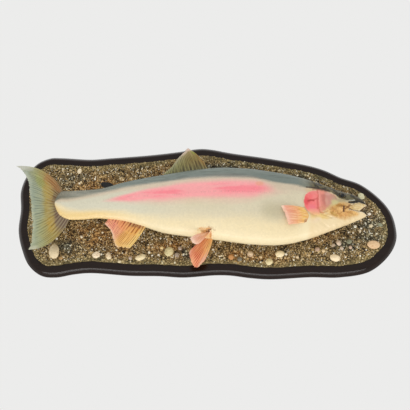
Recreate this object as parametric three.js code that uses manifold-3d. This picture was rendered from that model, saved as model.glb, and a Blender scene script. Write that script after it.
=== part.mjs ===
// Mounted trout on a wavy-edged wall plaque, life size, in millimetres, +Z up.
// The origin is on the flat back of the board, which lies against the wall at y = 0.
// The fish heads towards +X with its back up, and its right flank faces the room (-Y).
import * as THREE from 'three';
import { mergeVertices } from 'three/addons/utils/BufferGeometryUtils.js';
import Module from 'manifold-3d';

const wasm = await Module();
wasm.setup();

// ---- driving dimensions -------------------------------------------------------------

const GAP = 0.3;                  // clearance kept between pieces that touch

const BOARD_THICKNESS = 15;
const BOARD_OUTLINE_STEPS = 98;  // straight stretches round the board's edge
const RIM_WIDTH = 13.5;           // bare wood between the face's arris and the gravel
const GRAVEL_DEPTH = 3;
const BED_Y = -(BOARD_THICKNESS + GRAVEL_DEPTH);

// The edge moulding, from the back to the face: depth behind the wall plane, and how far
// the edge has drawn in from the widest outline.
const MOULDING = [
  { y: 0, inset: 1 },
  { y: -1, inset: 0 },
  { y: -5, inset: 0 },
  { y: -7.5, inset: 2.6 },
  { y: -11, inset: 4.2 },
  { y: -14, inset: 5.2 },
  { y: -BOARD_THICKNESS, inset: 6.5 },
];
const FACE_INSET = MOULDING[MOULDING.length - 1].inset;

// The widest outline of the board, clockwise from its upper left corner.
const BOARD_OUTLINE = [
  [-371, 78], [-351, 105.5], [-324, 118.3], [-302, 119], [-240, 115.5], [-200, 118.5],
  [-117, 125.5], [-60, 132.5], [-14, 139.8], [9, 138.5], [50, 130.5], [133, 117.5],
  [216, 101], [247, 90.5], [277, 75.5], [318, 59.5], [357, 26], [375.5, -2],
  [382.8, -32], [382, -60], [366, -91], [325, -125], [265, -137], [206, -136.8],
  [126, -141], [87, -138.5], [47, -133.3], [18, -132.8], [-45, -137.3], [-92, -134.6],
  [-150, -133.8], [-231, -128.2], [-262, -131], [-298, -137.3], [-326, -134.2],
  [-352, -114], [-368, -82], [-378.5, -42], [-377.5, 5], [-380.5, 45],
];

// Cross-sections of the fish from the end of its stalk to its snout.
// middle is the depth of the section's middle in front of the wall.
const STATIONS = [
  { name: 'stalk end', x: -297, top: 6, bottom: -9, half: 3, middle: -63 },
  { name: 'stalk rim', x: -291, top: 17, bottom: -22, half: 7, middle: -62.6 },
  { name: 'tail root', x: -284, top: 22.8, bottom: -30, half: 9, middle: -62 },
  { name: 'hind stalk', x: -268, top: 24, bottom: -36.3, half: 10.5, middle: -60.5 },
  { name: 'mid stalk', x: -245, top: 26, bottom: -35.5, half: 12, middle: -58.5 },
  { name: 'fore stalk', x: -210, top: 30.3, bottom: -32, half: 14, middle: -56 },
  { name: 'adipose', x: -170, top: 42.8, bottom: -35.6, half: 18, middle: -54 },
  { name: 'anal', x: -125, top: 53.3, bottom: -47.3, half: 23.5, middle: -53 },
  { name: 'vent', x: -80, top: 61.2, bottom: -61, half: 28.5, middle: -53 },
  { name: 'pelvic', x: -15, top: 71.4, bottom: -70.3, half: 34.5, middle: -53.5 },
  { name: 'dorsal', x: 35, top: 75.2, bottom: -77, half: 36.5, middle: -54 },
  { name: 'back', x: 85, top: 72.8, bottom: -83.7, half: 36.5, middle: -54 },
  { name: 'shoulder', x: 130, top: 66.5, bottom: -85.8, half: 35, middle: -53.5 },
  { name: 'nape', x: 165, top: 60.3, bottom: -82, half: 33.5, middle: -52.8 },
  { name: 'gill', x: 187, top: 54.5, bottom: -76.5, half: 32, middle: -52.3 },
  { name: 'cheek', x: 212, top: 46.6, bottom: -68.2, half: 29.5, middle: -51.5 },
  { name: 'orbit', x: 235, top: 38.3, bottom: -59.2, half: 26.5, middle: -50.6 },
  { name: 'eye', x: 255, top: 30.3, bottom: -51.5, half: 23, middle: -50 },
  { name: 'nostril', x: 272, top: 25, bottom: -44.8, half: 19, middle: -49.5 },
  { name: 'lip', x: 288, top: 21, bottom: -38.4, half: 15, middle: -49 },
  { name: 'snout', x: 301, top: 15, bottom: -32.6, half: 11.5, middle: -48.6 },
  { name: 'nose', x: 311, top: 7, bottom: -27.8, half: 8, middle: -48.4 },
  { name: 'tip', x: 316.5, top: -1, bottom: -23.6, half: 4.5, middle: -48.3 },
];
const SECTION_POWER = 2.2;        // 2 is an ellipse, more is squarer
const SECTION_POINTS = 28;
const BODY_RINGS = 33;
const RING_CROWDING = 0.045;      // draws the rings together towards both ends
const FLANK_REST_Y = BED_Y - GAP; // the hidden flank is flat where it rests on the bed

// Where the body is parted, seen from the side.
const TRUNK_CUT_X = 40;
const STALK_CUT_X = -165;
const GILL_EDGE = [
  [193, 80], [196, 45], [197, 14], [190, 2], [187.5, -9], [191, -20], [203, -32],
  [224, -46], [236, -60], [243, -85],
];
const JAW_HINGE = [[278.5, -17], [269, -28], [262, -54]];
const LIP_LINE_Z = -18.5;
const MOUTH_CLEFT = [
  [278, -16.5], [300, -17.8], [305, -13.6], [310.5, -8.6], [322, -1],
  [322, -27], [313, -22.2], [306, -19.4], [300, -18.9], [278, -17.4],
];

// The gill covers are thin plates over the cheeks.
const GILL_COVER_CENTRE = [214, -7];
const GILL_COVER_RADIUS = 25.5;
const GILL_COVER_FRONT_X = 218;
const GILL_COVER_THICKNESS = 1.3;

const EYE_RADIUS = 8;
const EYE_CENTRE = { x: 267.5, z: 12.5 };
const EYE_SHOWING = 2.7;          // how far the eyeball stands out of the head

// ---- mesh helpers -------------------------------------------------------------------

const LAST = STATIONS.length - 1;

// Monotone cubic through one column of STATIONS, so that no bulge appears between them.
function slopes(key) {
  const step = (i) => (STATIONS[i + 1][key] - STATIONS[i][key]) / (STATIONS[i + 1].x - STATIONS[i].x);
  return STATIONS.map((station, i) => {
    if (i === 0) return step(0);
    if (i === LAST) return step(LAST - 1);
    const before = step(i - 1);
    const after = step(i);
    return before * after <= 0 ? 0 : (2 * before * after) / (before + after);
  });
}

const SLOPES = { top: slopes('top'), bottom: slopes('bottom'), half: slopes('half'), middle: slopes('middle') };

function along(key, x) {
  let i = 0;
  while (i < LAST - 1 && x > STATIONS[i + 1].x) i += 1;
  const [a, b] = [STATIONS[i], STATIONS[i + 1]];
  const span = b.x - a.x;
  const t = Math.min(Math.max((x - a.x) / span, 0), 1);
  const hermite = (t - 1) ** 2 * (a[key] * (1 + 2 * t) + SLOPES[key][i] * span * t);
  return hermite + t ** 2 * (b[key] * (3 - 2 * t) + SLOPES[key][i + 1] * span * (t - 1));
}

// Points round one section of the body, grown outwards by grow.
function sectionRing(x, grow) {
  const top = along('top', x) + grow;
  const bottom = along('bottom', x) - grow;
  const half = along('half', x) + grow;
  const ring = [];
  for (let k = 0; k < SECTION_POINTS; k += 1) {
    const angle = (2 * Math.PI * k) / SECTION_POINTS;
    const round = (v) => Math.sign(v) * Math.abs(v) ** (2 / SECTION_POWER);
    const y = along('middle', x) + half * round(Math.cos(angle));
    const z = (top + bottom) / 2 + ((top - bottom) / 2) * round(Math.sin(angle));
    ring.push(new THREE.Vector3(x, Math.min(y, FLANK_REST_Y + grow), z));
  }
  return ring;
}

// A closed skin over a row of rings with equal point counts, fanned shut at both ends.
function skinOver(rings) {
  const count = rings[0].length;
  const positions = rings.flat().flatMap((p) => [p.x, p.y, p.z]);
  const faces = [];
  for (let i = 0; i < rings.length - 1; i += 1) {
    for (let k = 0; k < count; k += 1) {
      const a = i * count + k;
      const b = i * count + ((k + 1) % count);
      faces.push(a, b, b + count, a, b + count, a + count);
    }
  }
  [0, rings.length - 1].forEach((i) => {
    const middle = rings[i].reduce((sum, p) => sum.add(p), new THREE.Vector3()).divideScalar(count);
    const apex = positions.length / 3;
    positions.push(middle.x, middle.y, middle.z);
    for (let k = 0; k < count; k += 1) {
      const pair = [i * count + k, i * count + ((k + 1) % count)];
      if (i === 0) pair.reverse();
      faces.push(pair[0], pair[1], apex);
    }
  });
  const geometry = new THREE.BufferGeometry();
  geometry.setAttribute('position', new THREE.Float32BufferAttribute(positions, 3));
  geometry.setIndex(faces);
  return geometry;
}

function toSolid(geometry) {
  const plain = geometry.clone();
  plain.deleteAttribute('normal');
  plain.deleteAttribute('uv');
  const merged = mergeVertices(plain, 1e-4);
  const solid = new wasm.Manifold(new wasm.Mesh({
    numProp: 3,
    vertProperties: new Float32Array(merged.attributes.position.array),
    triVerts: new Uint32Array(merged.index.array),
  }));
  return solid.volume() < 0 ? toSolid(flipped(geometry)) : solid;
}

function flipped(geometry) {
  const turned = geometry.clone();
  const faces = turned.index.array;
  for (let i = 0; i < faces.length; i += 3) {
    [faces[i], faces[i + 1]] = [faces[i + 1], faces[i]];
  }
  return turned;
}

function toGeometry(solid) {
  const mesh = solid.getMesh();
  const geometry = new THREE.BufferGeometry();
  geometry.setAttribute('position', new THREE.BufferAttribute(new Float32Array(mesh.vertProperties), 3));
  geometry.setIndex(new THREE.BufferAttribute(new Uint32Array(mesh.triVerts), 1));
  geometry.computeVertexNormals();
  return geometry;
}

// A prism standing on an outline in the X-Z plane, from y = far to y = near.
function prism(outline, near, far) {
  const shape = new THREE.Shape(outline.map(([x, z]) => new THREE.Vector2(x, z)));
  const geometry = new THREE.ExtrudeGeometry(shape, { depth: far - near, bevelEnabled: false, steps: 1 });
  geometry.rotateX(Math.PI / 2);
  geometry.translate(0, far, 0);
  return geometry;
}

const THROUGH = [-150, 10];       // depths that clear the fish on both sides
const cutter = (outline) => toSolid(prism(outline, ...THROUGH));

// The same side-view line moved sideways, to its left for a positive distance.
function beside(line, distance) {
  return line.map(([x, z], i) => {
    const before = line[Math.max(i - 1, 0)];
    const after = line[Math.min(i + 1, line.length - 1)];
    const run = Math.hypot(after[0] - before[0], after[1] - before[1]);
    return [x - ((after[1] - before[1]) / run) * distance, z + ((after[0] - before[0]) / run) * distance];
  });
}

function smoothLine(points, steps) {
  const curve = new THREE.CatmullRomCurve3(points.map(([x, z]) => new THREE.Vector3(x, 0, z)), false, 'centripetal');
  return curve.getPoints(steps).map((p) => [p.x, p.z]);
}

// ---- board and bed ------------------------------------------------------------------

const edgeCurve = new THREE.CatmullRomCurve3(
  BOARD_OUTLINE.map(([x, z]) => new THREE.Vector3(x, 0, z)), true, 'centripetal');
const EDGE = edgeCurve.getSpacedPoints(BOARD_OUTLINE_STEPS).slice(0, -1);

// The board's widest outline drawn in by inset, at depth y.
function edgeRing(inset, y) {
  return EDGE.map((point, i) => {
    const before = EDGE[(i + EDGE.length - 1) % EDGE.length];
    const after = EDGE[(i + 1) % EDGE.length];
    const run = new THREE.Vector3().subVectors(after, before).normalize();
    return new THREE.Vector3(point.x + run.z * inset, y, point.z - run.x * inset);
  });
}

// A slab between stacked outlines, with flat faces at both ends.
function stackedSlab(rings) {
  const count = rings[0].length;
  const positions = rings.flat().flatMap((p) => [p.x, p.y, p.z]);
  const faces = [];
  for (let i = 0; i < rings.length - 1; i += 1) {
    for (let k = 0; k < count; k += 1) {
      const a = i * count + k;
      const b = i * count + ((k + 1) % count);
      faces.push(a, b, b + count, a, b + count, a + count);
    }
  }
  [0, rings.length - 1].forEach((i) => {
    const contour = rings[i].map((p) => new THREE.Vector2(p.x, p.z));
    THREE.ShapeUtils.triangulateShape(contour, []).forEach(([a, b, c]) => {
      const corners = [a, b, c].map((k) => i * count + k);
      if (i !== 0) corners.reverse();
      faces.push(...corners);
    });
  });
  const geometry = new THREE.BufferGeometry();
  geometry.setAttribute('position', new THREE.Float32BufferAttribute(positions, 3));
  geometry.setIndex(faces);
  return geometry;
}

// The hanger lies in a pocket in the back, so that the board hangs flat on the wall.
const POCKET = { x: 0, z: 92, width: 70, height: 26, depth: 8 };
const HANGER = { width: 56, height: 10, thickness: 1.2, teeth: 9, toothDepth: 2.5, behindWall: 1.2 };

function board() {
  const slab = toSolid(stackedSlab(MOULDING.map(({ y, inset }) => edgeRing(inset, y))));
  const pocket = new THREE.BoxGeometry(POCKET.width, POCKET.depth * 2, POCKET.height);
  pocket.translate(POCKET.x, 0, POCKET.z);
  return toGeometry(slab.subtract(toSolid(pocket)));
}

// A steel strip with a toothed lower edge and a standoff at each end.
function hanger() {
  const { width, height, thickness, teeth, toothDepth, behindWall } = HANGER;
  const top = POCKET.z + height;
  const [left, right] = [POCKET.x - width / 2, POCKET.x + width / 2];
  const outline = [[left, top], [left, top - height]];
  const pitch = (width - 2 * height) / teeth;
  for (let i = 0; i < teeth; i += 1) {
    const start = left + height + i * pitch;
    outline.push([start, top - height], [start + pitch / 2, top - height + toothDepth]);
  }
  outline.push([right - height, top - height], [right, top - height], [right, top]);
  let strip = toSolid(prism(outline, -behindWall - thickness, -behindWall));
  [left, right - height + 2].forEach((x) => {
    const foot = new THREE.BoxGeometry(height - 2, POCKET.depth - behindWall - GAP, height);
    foot.translate(x + (height - 2) / 2, -(POCKET.depth + behindWall - GAP) / 2, top - height / 2);
    strip = strip.add(toSolid(foot));
  });
  return toGeometry(strip);
}

function gravelBed() {
  const inset = FACE_INSET + RIM_WIDTH;
  return toGeometry(toSolid(stackedSlab([
    edgeRing(inset, -BOARD_THICKNESS),
    edgeRing(inset + 0.6, BED_Y + 1),
    edgeRing(inset + 2.2, BED_Y),
  ])));
}

// Loose stones glued on the bed: middle (x, z), width, height, thickness and tilt in degrees.
const STONES = [
  { x: -301, z: -89, wide: 20, high: 30, thick: 9, tilt: 4 },
  { x: -260, z: 83, wide: 9, high: 12, thick: 5, tilt: -20 },
  { x: -217, z: -96, wide: 17, high: 14, thick: 7, tilt: 12 },
  { x: -193, z: -98, wide: 11, high: 15, thick: 6, tilt: 25 },
  { x: -130, z: -101, wide: 22, high: 12, thick: 6, tilt: 22 },
  { x: -74, z: -89, wide: 18, high: 20, thick: 8, tilt: -40 },
  { x: 87, z: -94, wide: 12, high: 13, thick: 6, tilt: 50 },
  { x: 124, z: -110, wide: 15, high: 14, thick: 6, tilt: 0 },
  { x: 145, z: -94, wide: 19, high: 14, thick: 7, tilt: 6 },
  { x: 254, z: -102, wide: 21, high: 15, thick: 8, tilt: -8 },
  { x: 263, z: -71, wide: 10, high: 12, thick: 5, tilt: 30 },
  { x: 332, z: -75, wide: 26, high: 17, thick: 8, tilt: -4 },
  { x: 315, z: 28, wide: 15, high: 12, thick: 6, tilt: -35 },
  { x: 49, z: -100, wide: 11, high: 12, thick: 6, tilt: 10 },
  { x: 66, z: -104, wide: 10, high: 9, thick: 5, tilt: 40 },
  { x: 284, z: -68, wide: 12, high: 10, thick: 5, tilt: 20 },
  { x: 348, z: -33, wide: 11, high: 8, thick: 4, tilt: -15 },
  { x: -58, z: -96, wide: 9, high: 10, thick: 5, tilt: 15 },
];

// A pebble: a dome on a flat base, with its sides slightly squared.
function stone({ x, z, wide, high, thick, tilt }) {
  const rows = [[1, 0], [1.03, 0.4], [0.66, 0.88]];
  const sides = 9;
  const rings = rows.map(([reach, rise]) => Array.from({ length: sides }, (_, k) => {
    const angle = (-2 * Math.PI * k) / sides;
    const wobble = 1 + 0.05 * Math.sin(3 * angle + x);
    return new THREE.Vector3((wide / 2) * reach * wobble * Math.cos(angle), -rise * thick,
      (high / 2) * reach * wobble * Math.sin(angle));
  }));
  const pebble = skinOver(rings);
  pebble.rotateY((-tilt * Math.PI) / 180);
  pebble.translate(x, BED_Y, z);
  return toGeometry(toSolid(pebble));
}

// ---- fish ---------------------------------------------------------------------------

function fishBody(grow) {
  const [start, end] = [STATIONS[0].x, STATIONS[LAST].x];
  const rings = [];
  for (let i = 0; i <= BODY_RINGS; i += 1) {
    const t = i / BODY_RINGS;
    const eased = t - RING_CROWDING * Math.sin(2 * Math.PI * t);
    rings.push(sectionRing(start + (end - start) * eased, grow));
  }
  rings[0].forEach((p) => { p.x -= grow; });
  rings[BODY_RINGS].forEach((p) => { p.x += grow; });
  return toSolid(skinOver(rings));
}

const body = fishBody(0);
const bodyWithClearance = fishBody(GAP);

const gillLine = smoothLine(GILL_EDGE, 24);
const FAR_RIGHT = 340;
const FAR_LEFT = -340;
const ABOVE = 100;
const BELOW = -110;

function eyeball(side) {
  const z = EYE_CENTRE.z;
  const top = along('top', EYE_CENTRE.x);
  const bottom = along('bottom', EYE_CENTRE.x);
  const height = Math.abs(z - (top + bottom) / 2) / ((top - bottom) / 2);
  const reach = along('half', EYE_CENTRE.x) * (1 - height ** SECTION_POWER) ** (1 / SECTION_POWER);
  const y = along('middle', EYE_CENTRE.x) - side * (reach - EYE_RADIUS + EYE_SHOWING);
  return new THREE.Vector3(EYE_CENTRE.x, y, z);
}

function sphereAt(centre, radius, rings) {
  const ball = new THREE.SphereGeometry(radius, rings * 2, rings);
  ball.rotateX(Math.PI / 2);
  ball.translate(centre.x, centre.y, centre.z);
  return ball;
}

function eye(side) {
  return toGeometry(toSolid(sphereAt(eyeball(side), EYE_RADIUS, 8)));
}

function fleshNodes() {
  const headRegion = cutter([...gillLine, [FAR_RIGHT, BELOW], [FAR_RIGHT, ABOVE]]);
  const frontRegion = cutter([
    ...beside(gillLine, -GAP), [TRUNK_CUT_X + GAP / 2, BELOW], [TRUNK_CUT_X + GAP / 2, ABOVE]]);
  const rearRegion = cutter([
    [TRUNK_CUT_X - GAP / 2, ABOVE], [TRUNK_CUT_X - GAP / 2, BELOW],
    [STALK_CUT_X + GAP / 2, BELOW], [STALK_CUT_X + GAP / 2, ABOVE]]);
  const stalkRegion = cutter([
    [STALK_CUT_X - GAP / 2, ABOVE], [STALK_CUT_X - GAP / 2, BELOW], [FAR_LEFT, BELOW], [FAR_LEFT, ABOVE]]);
  const chinRegion = cutter([
    ...JAW_HINGE, [JAW_HINGE[2][0] - 5, BELOW], [FAR_RIGHT, BELOW], [FAR_RIGHT, LIP_LINE_Z], [303, LIP_LINE_Z]]);
  const hingeGap = cutter([...beside(JAW_HINGE, -GAP / 2), ...beside(JAW_HINGE, GAP / 2).reverse()]);
  const sockets = [1, -1].map((side) => toSolid(sphereAt(eyeball(side), EYE_RADIUS + GAP, 8)));
  let skull = body.intersect(headRegion).subtract(cutter(MOUTH_CLEFT)).subtract(hingeGap);
  sockets.forEach((socket) => { skull = skull.subtract(socket); });
  return {
    head: skull.subtract(chinRegion),
    lower_jaw: skull.intersect(chinRegion),
    trunk_front: body.intersect(frontRegion),
    trunk_rear: body.intersect(rearRegion),
    tail_stalk: body.intersect(stalkRegion),
  };
}

// The gill cover: the head's own surface, raised, inside a rounded outline.
function gillCover(side) {
  const [x, z] = GILL_COVER_CENTRE;
  const outline = [[GILL_COVER_FRONT_X, z + GILL_COVER_RADIUS]];
  for (let angle = 95; angle <= 265; angle += 10) {
    const turn = (angle * Math.PI) / 180;
    outline.push([x + GILL_COVER_RADIUS * Math.cos(turn), z + GILL_COVER_RADIUS * Math.sin(turn)]);
  }
  outline.push([GILL_COVER_FRONT_X, z - GILL_COVER_RADIUS]);
  const middle = along('middle', x);
  const outer = prism(outline, ...(side > 0 ? [-150, middle] : [middle, 10]));
  const raised = fishBody(GAP + GILL_COVER_THICKNESS);
  return toGeometry(raised.intersect(toSolid(outer)).subtract(bodyWithClearance));
}

// A fin: rays run from the root line to the tip line, each bent towards its own bow point,
// and the plate thins from root to tip. across is the direction of its thickness.
function fin({ root, tip, bow, across, thick, rays, steps }) {
  const curve = (points) => new THREE.CatmullRomCurve3(
    points.map(([x, y, z]) => new THREE.Vector3(x, y, z)), false, 'centripetal');
  const [rootCurve, tipCurve] = [curve(root), curve(tip)];
  const side = new THREE.Vector3(...across).normalize();
  const faces = [];
  const positions = [];
  for (const sign of [1, -1]) {
    for (let i = 0; i <= rays; i += 1) {
      const a = rootCurve.getPoint(i / rays);
      const c = tipCurve.getPoint(i / rays);
      const b = a.clone().add(c).multiplyScalar(0.5).add(new THREE.Vector3(...bow(i / rays)));
      const ray = new THREE.QuadraticBezierCurve3(a, b, c);
      for (let j = 0; j <= steps; j += 1) {
        const half = THREE.MathUtils.lerp(thick[0], thick[1], (j / steps) ** 0.7) / 2;
        positions.push(...ray.getPoint(j / steps).addScaledVector(side, sign * half).toArray());
      }
    }
  }
  const row = steps + 1;
  const back = (rays + 1) * row;
  const quad = (a, b, c, d) => faces.push(a, b, c, a, c, d);
  for (let i = 0; i < rays; i += 1) {
    for (let j = 0; j < steps; j += 1) {
      const a = i * row + j;
      quad(a, a + 1, a + row + 1, a + row);
      quad(back + a, back + a + row, back + a + row + 1, back + a + 1);
    }
    quad(i * row, (i + 1) * row, back + (i + 1) * row, back + i * row);
    quad(i * row + steps, back + i * row + steps, back + (i + 1) * row + steps, (i + 1) * row + steps);
  }
  for (let j = 0; j < steps; j += 1) {
    quad(j, back + j, back + j + 1, j + 1);
    const a = rays * row + j;
    quad(a, a + 1, back + a + 1, back + a);
  }
  const geometry = new THREE.BufferGeometry();
  geometry.setAttribute('position', new THREE.Float32BufferAttribute(positions, 3));
  geometry.setIndex(faces);
  return toGeometry(toSolid(geometry).subtract(bodyWithClearance));
}

const straight = () => [0, 0, 0];
const UPRIGHT = [0, 1, 0];

// The tail stands a little further from the wall towards its tips.
const tailDepth = (x) => -62 - 0.1 * (-290 - x);
const tailPoint = ([x, z]) => [x, tailDepth(x), z];

const FINS = {
  caudal_fin: {
    root: [[-280, 19], [-287, 10], [-289, -6], [-284, -20], [-266, -32]].map(tailPoint),
    tip: [[-378, 73], [-364, 61], [-353, 42], [-348, 18], [-342, -18], [-338, -50], [-338, -84],
      [-342, -99]].map(tailPoint),
    bow: (u) => [13 * (2 * u - 1) ** 2, 0, (u < 0.5 ? 35 : -31) * (2 * u - 1) ** 2],
    across: UPRIGHT,
    thick: [5, 0.8],
    rays: 16,
    steps: 7,
  },
  dorsal_fin: {
    root: [[4, -54, 70], [-40, -54, 64], [-84, -54, 57]],
    tip: [[-30, -55, 114], [-38, -55, 119], [-45, -55, 111], [-57, -54.5, 97], [-69, -54, 80], [-85, -54, 64]],
    bow: (u) => [6 * (1 - u) ** 2, 0, 3 * (1 - u) + 4 * (1 - u) ** 2],
    across: UPRIGHT,
    thick: [4, 0.8],
    rays: 12,
    steps: 5,
  },
  adipose_fin: {
    root: [[-183, -54, 37], [-190, -54, 33], [-197, -54, 30]],
    tip: [[-198, -54, 45.5], [-210, -54, 43.5], [-209, -54, 37]],
    bow: (u) => [3 * (1 - u), 0, 2.5 * (1 - u)],
    across: UPRIGHT,
    thick: [4, 1.6],
    rays: 4,
    steps: 4,
  },
  anal_fin: {
    root: [[-117, -53, -44], [-153, -53, -34], [-189, -54, -28]],
    tip: [[-149, -54, -93], [-174, -54, -90], [-181, -54, -76], [-186, -54, -58], [-199, -54, -42]],
    bow: (u) => [5 * (1 - u) ** 2, 0, 0],
    across: UPRIGHT,
    thick: [4, 0.8],
    rays: 10,
    steps: 5,
  },
  pelvic_fin_right: {
    root: [[10, -71, -62], [6, -69, -64.5], [-1, -67, -65.5]],
    tip: [[-16, -77, -91.5], [-23.5, -79, -91], [-28.6, -80, -87], [-31.5, -80, -80.5]],
    bow: (u) => [0, -2, -4 + 10 * u],
    across: [0, -0.85, 0.52],
    thick: [4, 0.8],
    rays: 7,
    steps: 6,
  },
  pelvic_fin_left: {
    root: [[14, -52, -66], [7, -50, -65], [0, -48, -64]],
    tip: [[-4, -56, -119], [-20.5, -57, -133.5], [-31, -57, -115], [-33, -56, -101], [-20, -54, -84.5]],
    bow: (u) => [5 * (1 - u), -1, 0],
    across: UPRIGHT,
    thick: [4, 0.8],
    rays: 9,
    steps: 6,
  },
  pectoral_fin_right: {
    root: [[188, -82.9, -19], [197.5, -79.5, -35], [192.5, -77.7, -47.5]],
    tip: [[143.5, -93, -18.4], [146, -93, -25], [149, -93, -31.5], [153.3, -92, -45.5], [156.5, -90, -56]],
    bow: (u) => [0, -3, 3 - 4 * u],
    across: [0.18, -1, 0.25],
    thick: [4, 0.8],
    rays: 8,
    steps: 6,
  },
  pectoral_fin_left: {
    root: [[196, -32, -48], [193, -33, -54], [189, -34, -59]],
    tip: [[140, -25.5, -58], [138, -26.5, -66], [146, -28, -74], [162, -32, -77]],
    bow: straight,
    across: [0, 1, 0.35],
    thick: [3, 0.8],
    rays: 6,
    steps: 5,
  },
};

// ---- assembly -----------------------------------------------------------------------

const FINISHES = {
  wood: { color: 0x2e2622, roughness: 0.35, metalness: 0 },
  gravel: { color: 0x7d6e50, roughness: 0.95, metalness: 0 },
  pebble: { color: 0xd8ccb0, roughness: 0.7, metalness: 0 },
  flesh: { color: 0xdcd2b4, roughness: 0.4, metalness: 0 },
  gill: { color: 0xe2606a, roughness: 0.4, metalness: 0 },
  fins: { color: 0xb08a4a, roughness: 0.5, metalness: 0 },
  glass: { color: 0x14120e, roughness: 0.1, metalness: 0 },
  steel: { color: 0x8c8f92, roughness: 0.35, metalness: 1 },
};

const group = new THREE.Group();

function place(name, geometry, finish) {
  const mesh = new THREE.Mesh(geometry, new THREE.MeshStandardMaterial(FINISHES[finish]));
  mesh.name = name;
  group.add(mesh);
}

place('board', board(), 'wood');
place('hanger', hanger(), 'steel');
place('gravel_bed', gravelBed(), 'gravel');
STONES.forEach((size, i) => place(`stone_${String(i + 1).padStart(2, '0')}`, stone(size), 'pebble'));
Object.entries(fleshNodes()).forEach(([name, solid]) => place(name, toGeometry(solid), 'flesh'));
place('eye_right', eye(1), 'glass');
place('eye_left', eye(-1), 'glass');
place('gill_cover_right', gillCover(1), 'gill');
place('gill_cover_left', gillCover(-1), 'gill');
Object.entries(FINS).forEach(([name, shape]) => place(name, fin(shape), 'fins'));

export default group;
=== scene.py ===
import math

import bmesh
import bpy
import numpy as np
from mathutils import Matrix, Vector
from mathutils.geometry import delaunay_2d_cdt


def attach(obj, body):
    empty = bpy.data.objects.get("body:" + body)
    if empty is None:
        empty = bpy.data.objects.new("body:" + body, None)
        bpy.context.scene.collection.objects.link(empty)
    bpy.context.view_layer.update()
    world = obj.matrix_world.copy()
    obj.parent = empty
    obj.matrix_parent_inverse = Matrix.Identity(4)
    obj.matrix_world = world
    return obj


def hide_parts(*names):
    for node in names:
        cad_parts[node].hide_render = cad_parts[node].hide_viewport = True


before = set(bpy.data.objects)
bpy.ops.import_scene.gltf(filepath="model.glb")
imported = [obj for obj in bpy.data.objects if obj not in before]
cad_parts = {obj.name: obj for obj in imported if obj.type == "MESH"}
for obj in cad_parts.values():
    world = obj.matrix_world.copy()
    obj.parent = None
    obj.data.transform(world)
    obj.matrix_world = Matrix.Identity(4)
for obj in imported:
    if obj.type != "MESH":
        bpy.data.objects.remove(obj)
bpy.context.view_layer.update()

MM = 0.001
RNG = np.random.default_rng(20261)

# ---- sizes shared with the solids ----------------------------------------------------

BOARD_THICKNESS = 15.0
BED_Y = -18.0

BOARD_OUTLINE = np.array([
    (-371, 78), (-351, 105.5), (-324, 118.3), (-302, 119), (-240, 115.5), (-200, 118.5),
    (-117, 125.5), (-60, 132.5), (-14, 139.8), (9, 138.5), (50, 130.5), (133, 117.5),
    (216, 101), (247, 90.5), (277, 75.5), (318, 59.5), (357, 26), (375.5, -2),
    (382.8, -32), (382, -60), (366, -91), (325, -125), (265, -137), (206, -136.8),
    (126, -141), (87, -138.5), (47, -133.3), (18, -132.8), (-45, -137.3), (-92, -134.6),
    (-150, -133.8), (-231, -128.2), (-262, -131), (-298, -137.3), (-326, -134.2),
    (-352, -114), (-368, -82), (-378.5, -42), (-377.5, 5), (-380.5, 45),
], float)

# Cross-sections of the fish: x, top, bottom, half width, and the middle's depth.
STATIONS = np.array([
    (-297, 6, -9, 3, -63), (-291, 17, -22, 7, -62.6), (-284, 22.8, -30, 9, -62),
    (-268, 24, -36.3, 10.5, -60.5), (-245, 26, -35.5, 12, -58.5), (-210, 30.3, -32, 14, -56),
    (-170, 42.8, -35.6, 18, -54), (-125, 53.3, -47.3, 23.5, -53), (-80, 61.2, -61, 28.5, -53),
    (-15, 71.4, -70.3, 34.5, -53.5), (35, 75.2, -77, 36.5, -54), (85, 72.8, -83.7, 36.5, -54),
    (130, 66.5, -85.8, 35, -53.5), (165, 60.3, -82, 33.5, -52.8), (187, 54.5, -76.5, 32, -52.3),
    (212, 46.6, -68.2, 29.5, -51.5), (235, 38.3, -59.2, 26.5, -50.6), (255, 30.3, -51.5, 23, -50),
    (272, 25, -44.8, 19, -49.5), (288, 21, -38.4, 15, -49), (301, 15, -32.6, 11.5, -48.6),
    (311, 7, -27.8, 8, -48.4), (316.5, -1, -23.6, 4.5, -48.3),
], float)
SECTION_POWER = 2.2
TAIL_X, SNOUT_X = STATIONS[0, 0], STATIONS[-1, 0]
GILL_X = 187.0
COAT = 0.55                      # how far the skin lies inside the solids under the scales
REST_GAP = 0.3                   # between the bed's sand and the flattened side of the fish
UV_SPAN = 800                    # millimetres across the board's map

EYE = {"x": 267.5, "z": 12.5, "radius": 8.0, "showing": 2.7}
GILL_CENTRE = (214.0, -7.0)
GILL_RADIUS = 25.5
PREOPERCLE_X = 218.5
MOUTH_CLEFT = [
    (278, -16.5), (300, -17.8), (305, -13.6), (310.5, -8.6), (322, -1),
    (322, -27), (313, -22.2), (306, -19.4), (300, -18.9), (278, -17.4),
]

# ---- small mathematics ----------------------------------------------------------------


def smoothstep(low, high, value):
    t = np.clip((value - low) / (high - low), 0, 1)
    return t * t * (3 - 2 * t)


def bump(distance, width):
    return np.exp(-(distance / width) ** 2)


def lengths_along(points):
    """How far along a line each of its points lies."""
    return np.concatenate([[0], np.cumsum(np.linalg.norm(np.diff(points, axis=0), axis=1))])


def segment_distance(x, z, points):
    """The distance from each (x, z) to a polyline, and how far along it the foot lies."""
    best = np.full(np.shape(x), 1e9)
    where = np.zeros(np.shape(x))
    for i in range(len(points) - 1):
        (ax, az), (bx, bz) = points[i], points[i + 1]
        dx, dz = bx - ax, bz - az
        t = np.clip(((x - ax) * dx + (z - az) * dz) / (dx * dx + dz * dz), 0, 1)
        distance = np.hypot(x - ax - t * dx, z - az - t * dz)
        closer = distance < best
        best = np.where(closer, distance, best)
        where = np.where(closer, (i + t) / (len(points) - 1), where)
    return best, where


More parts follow.
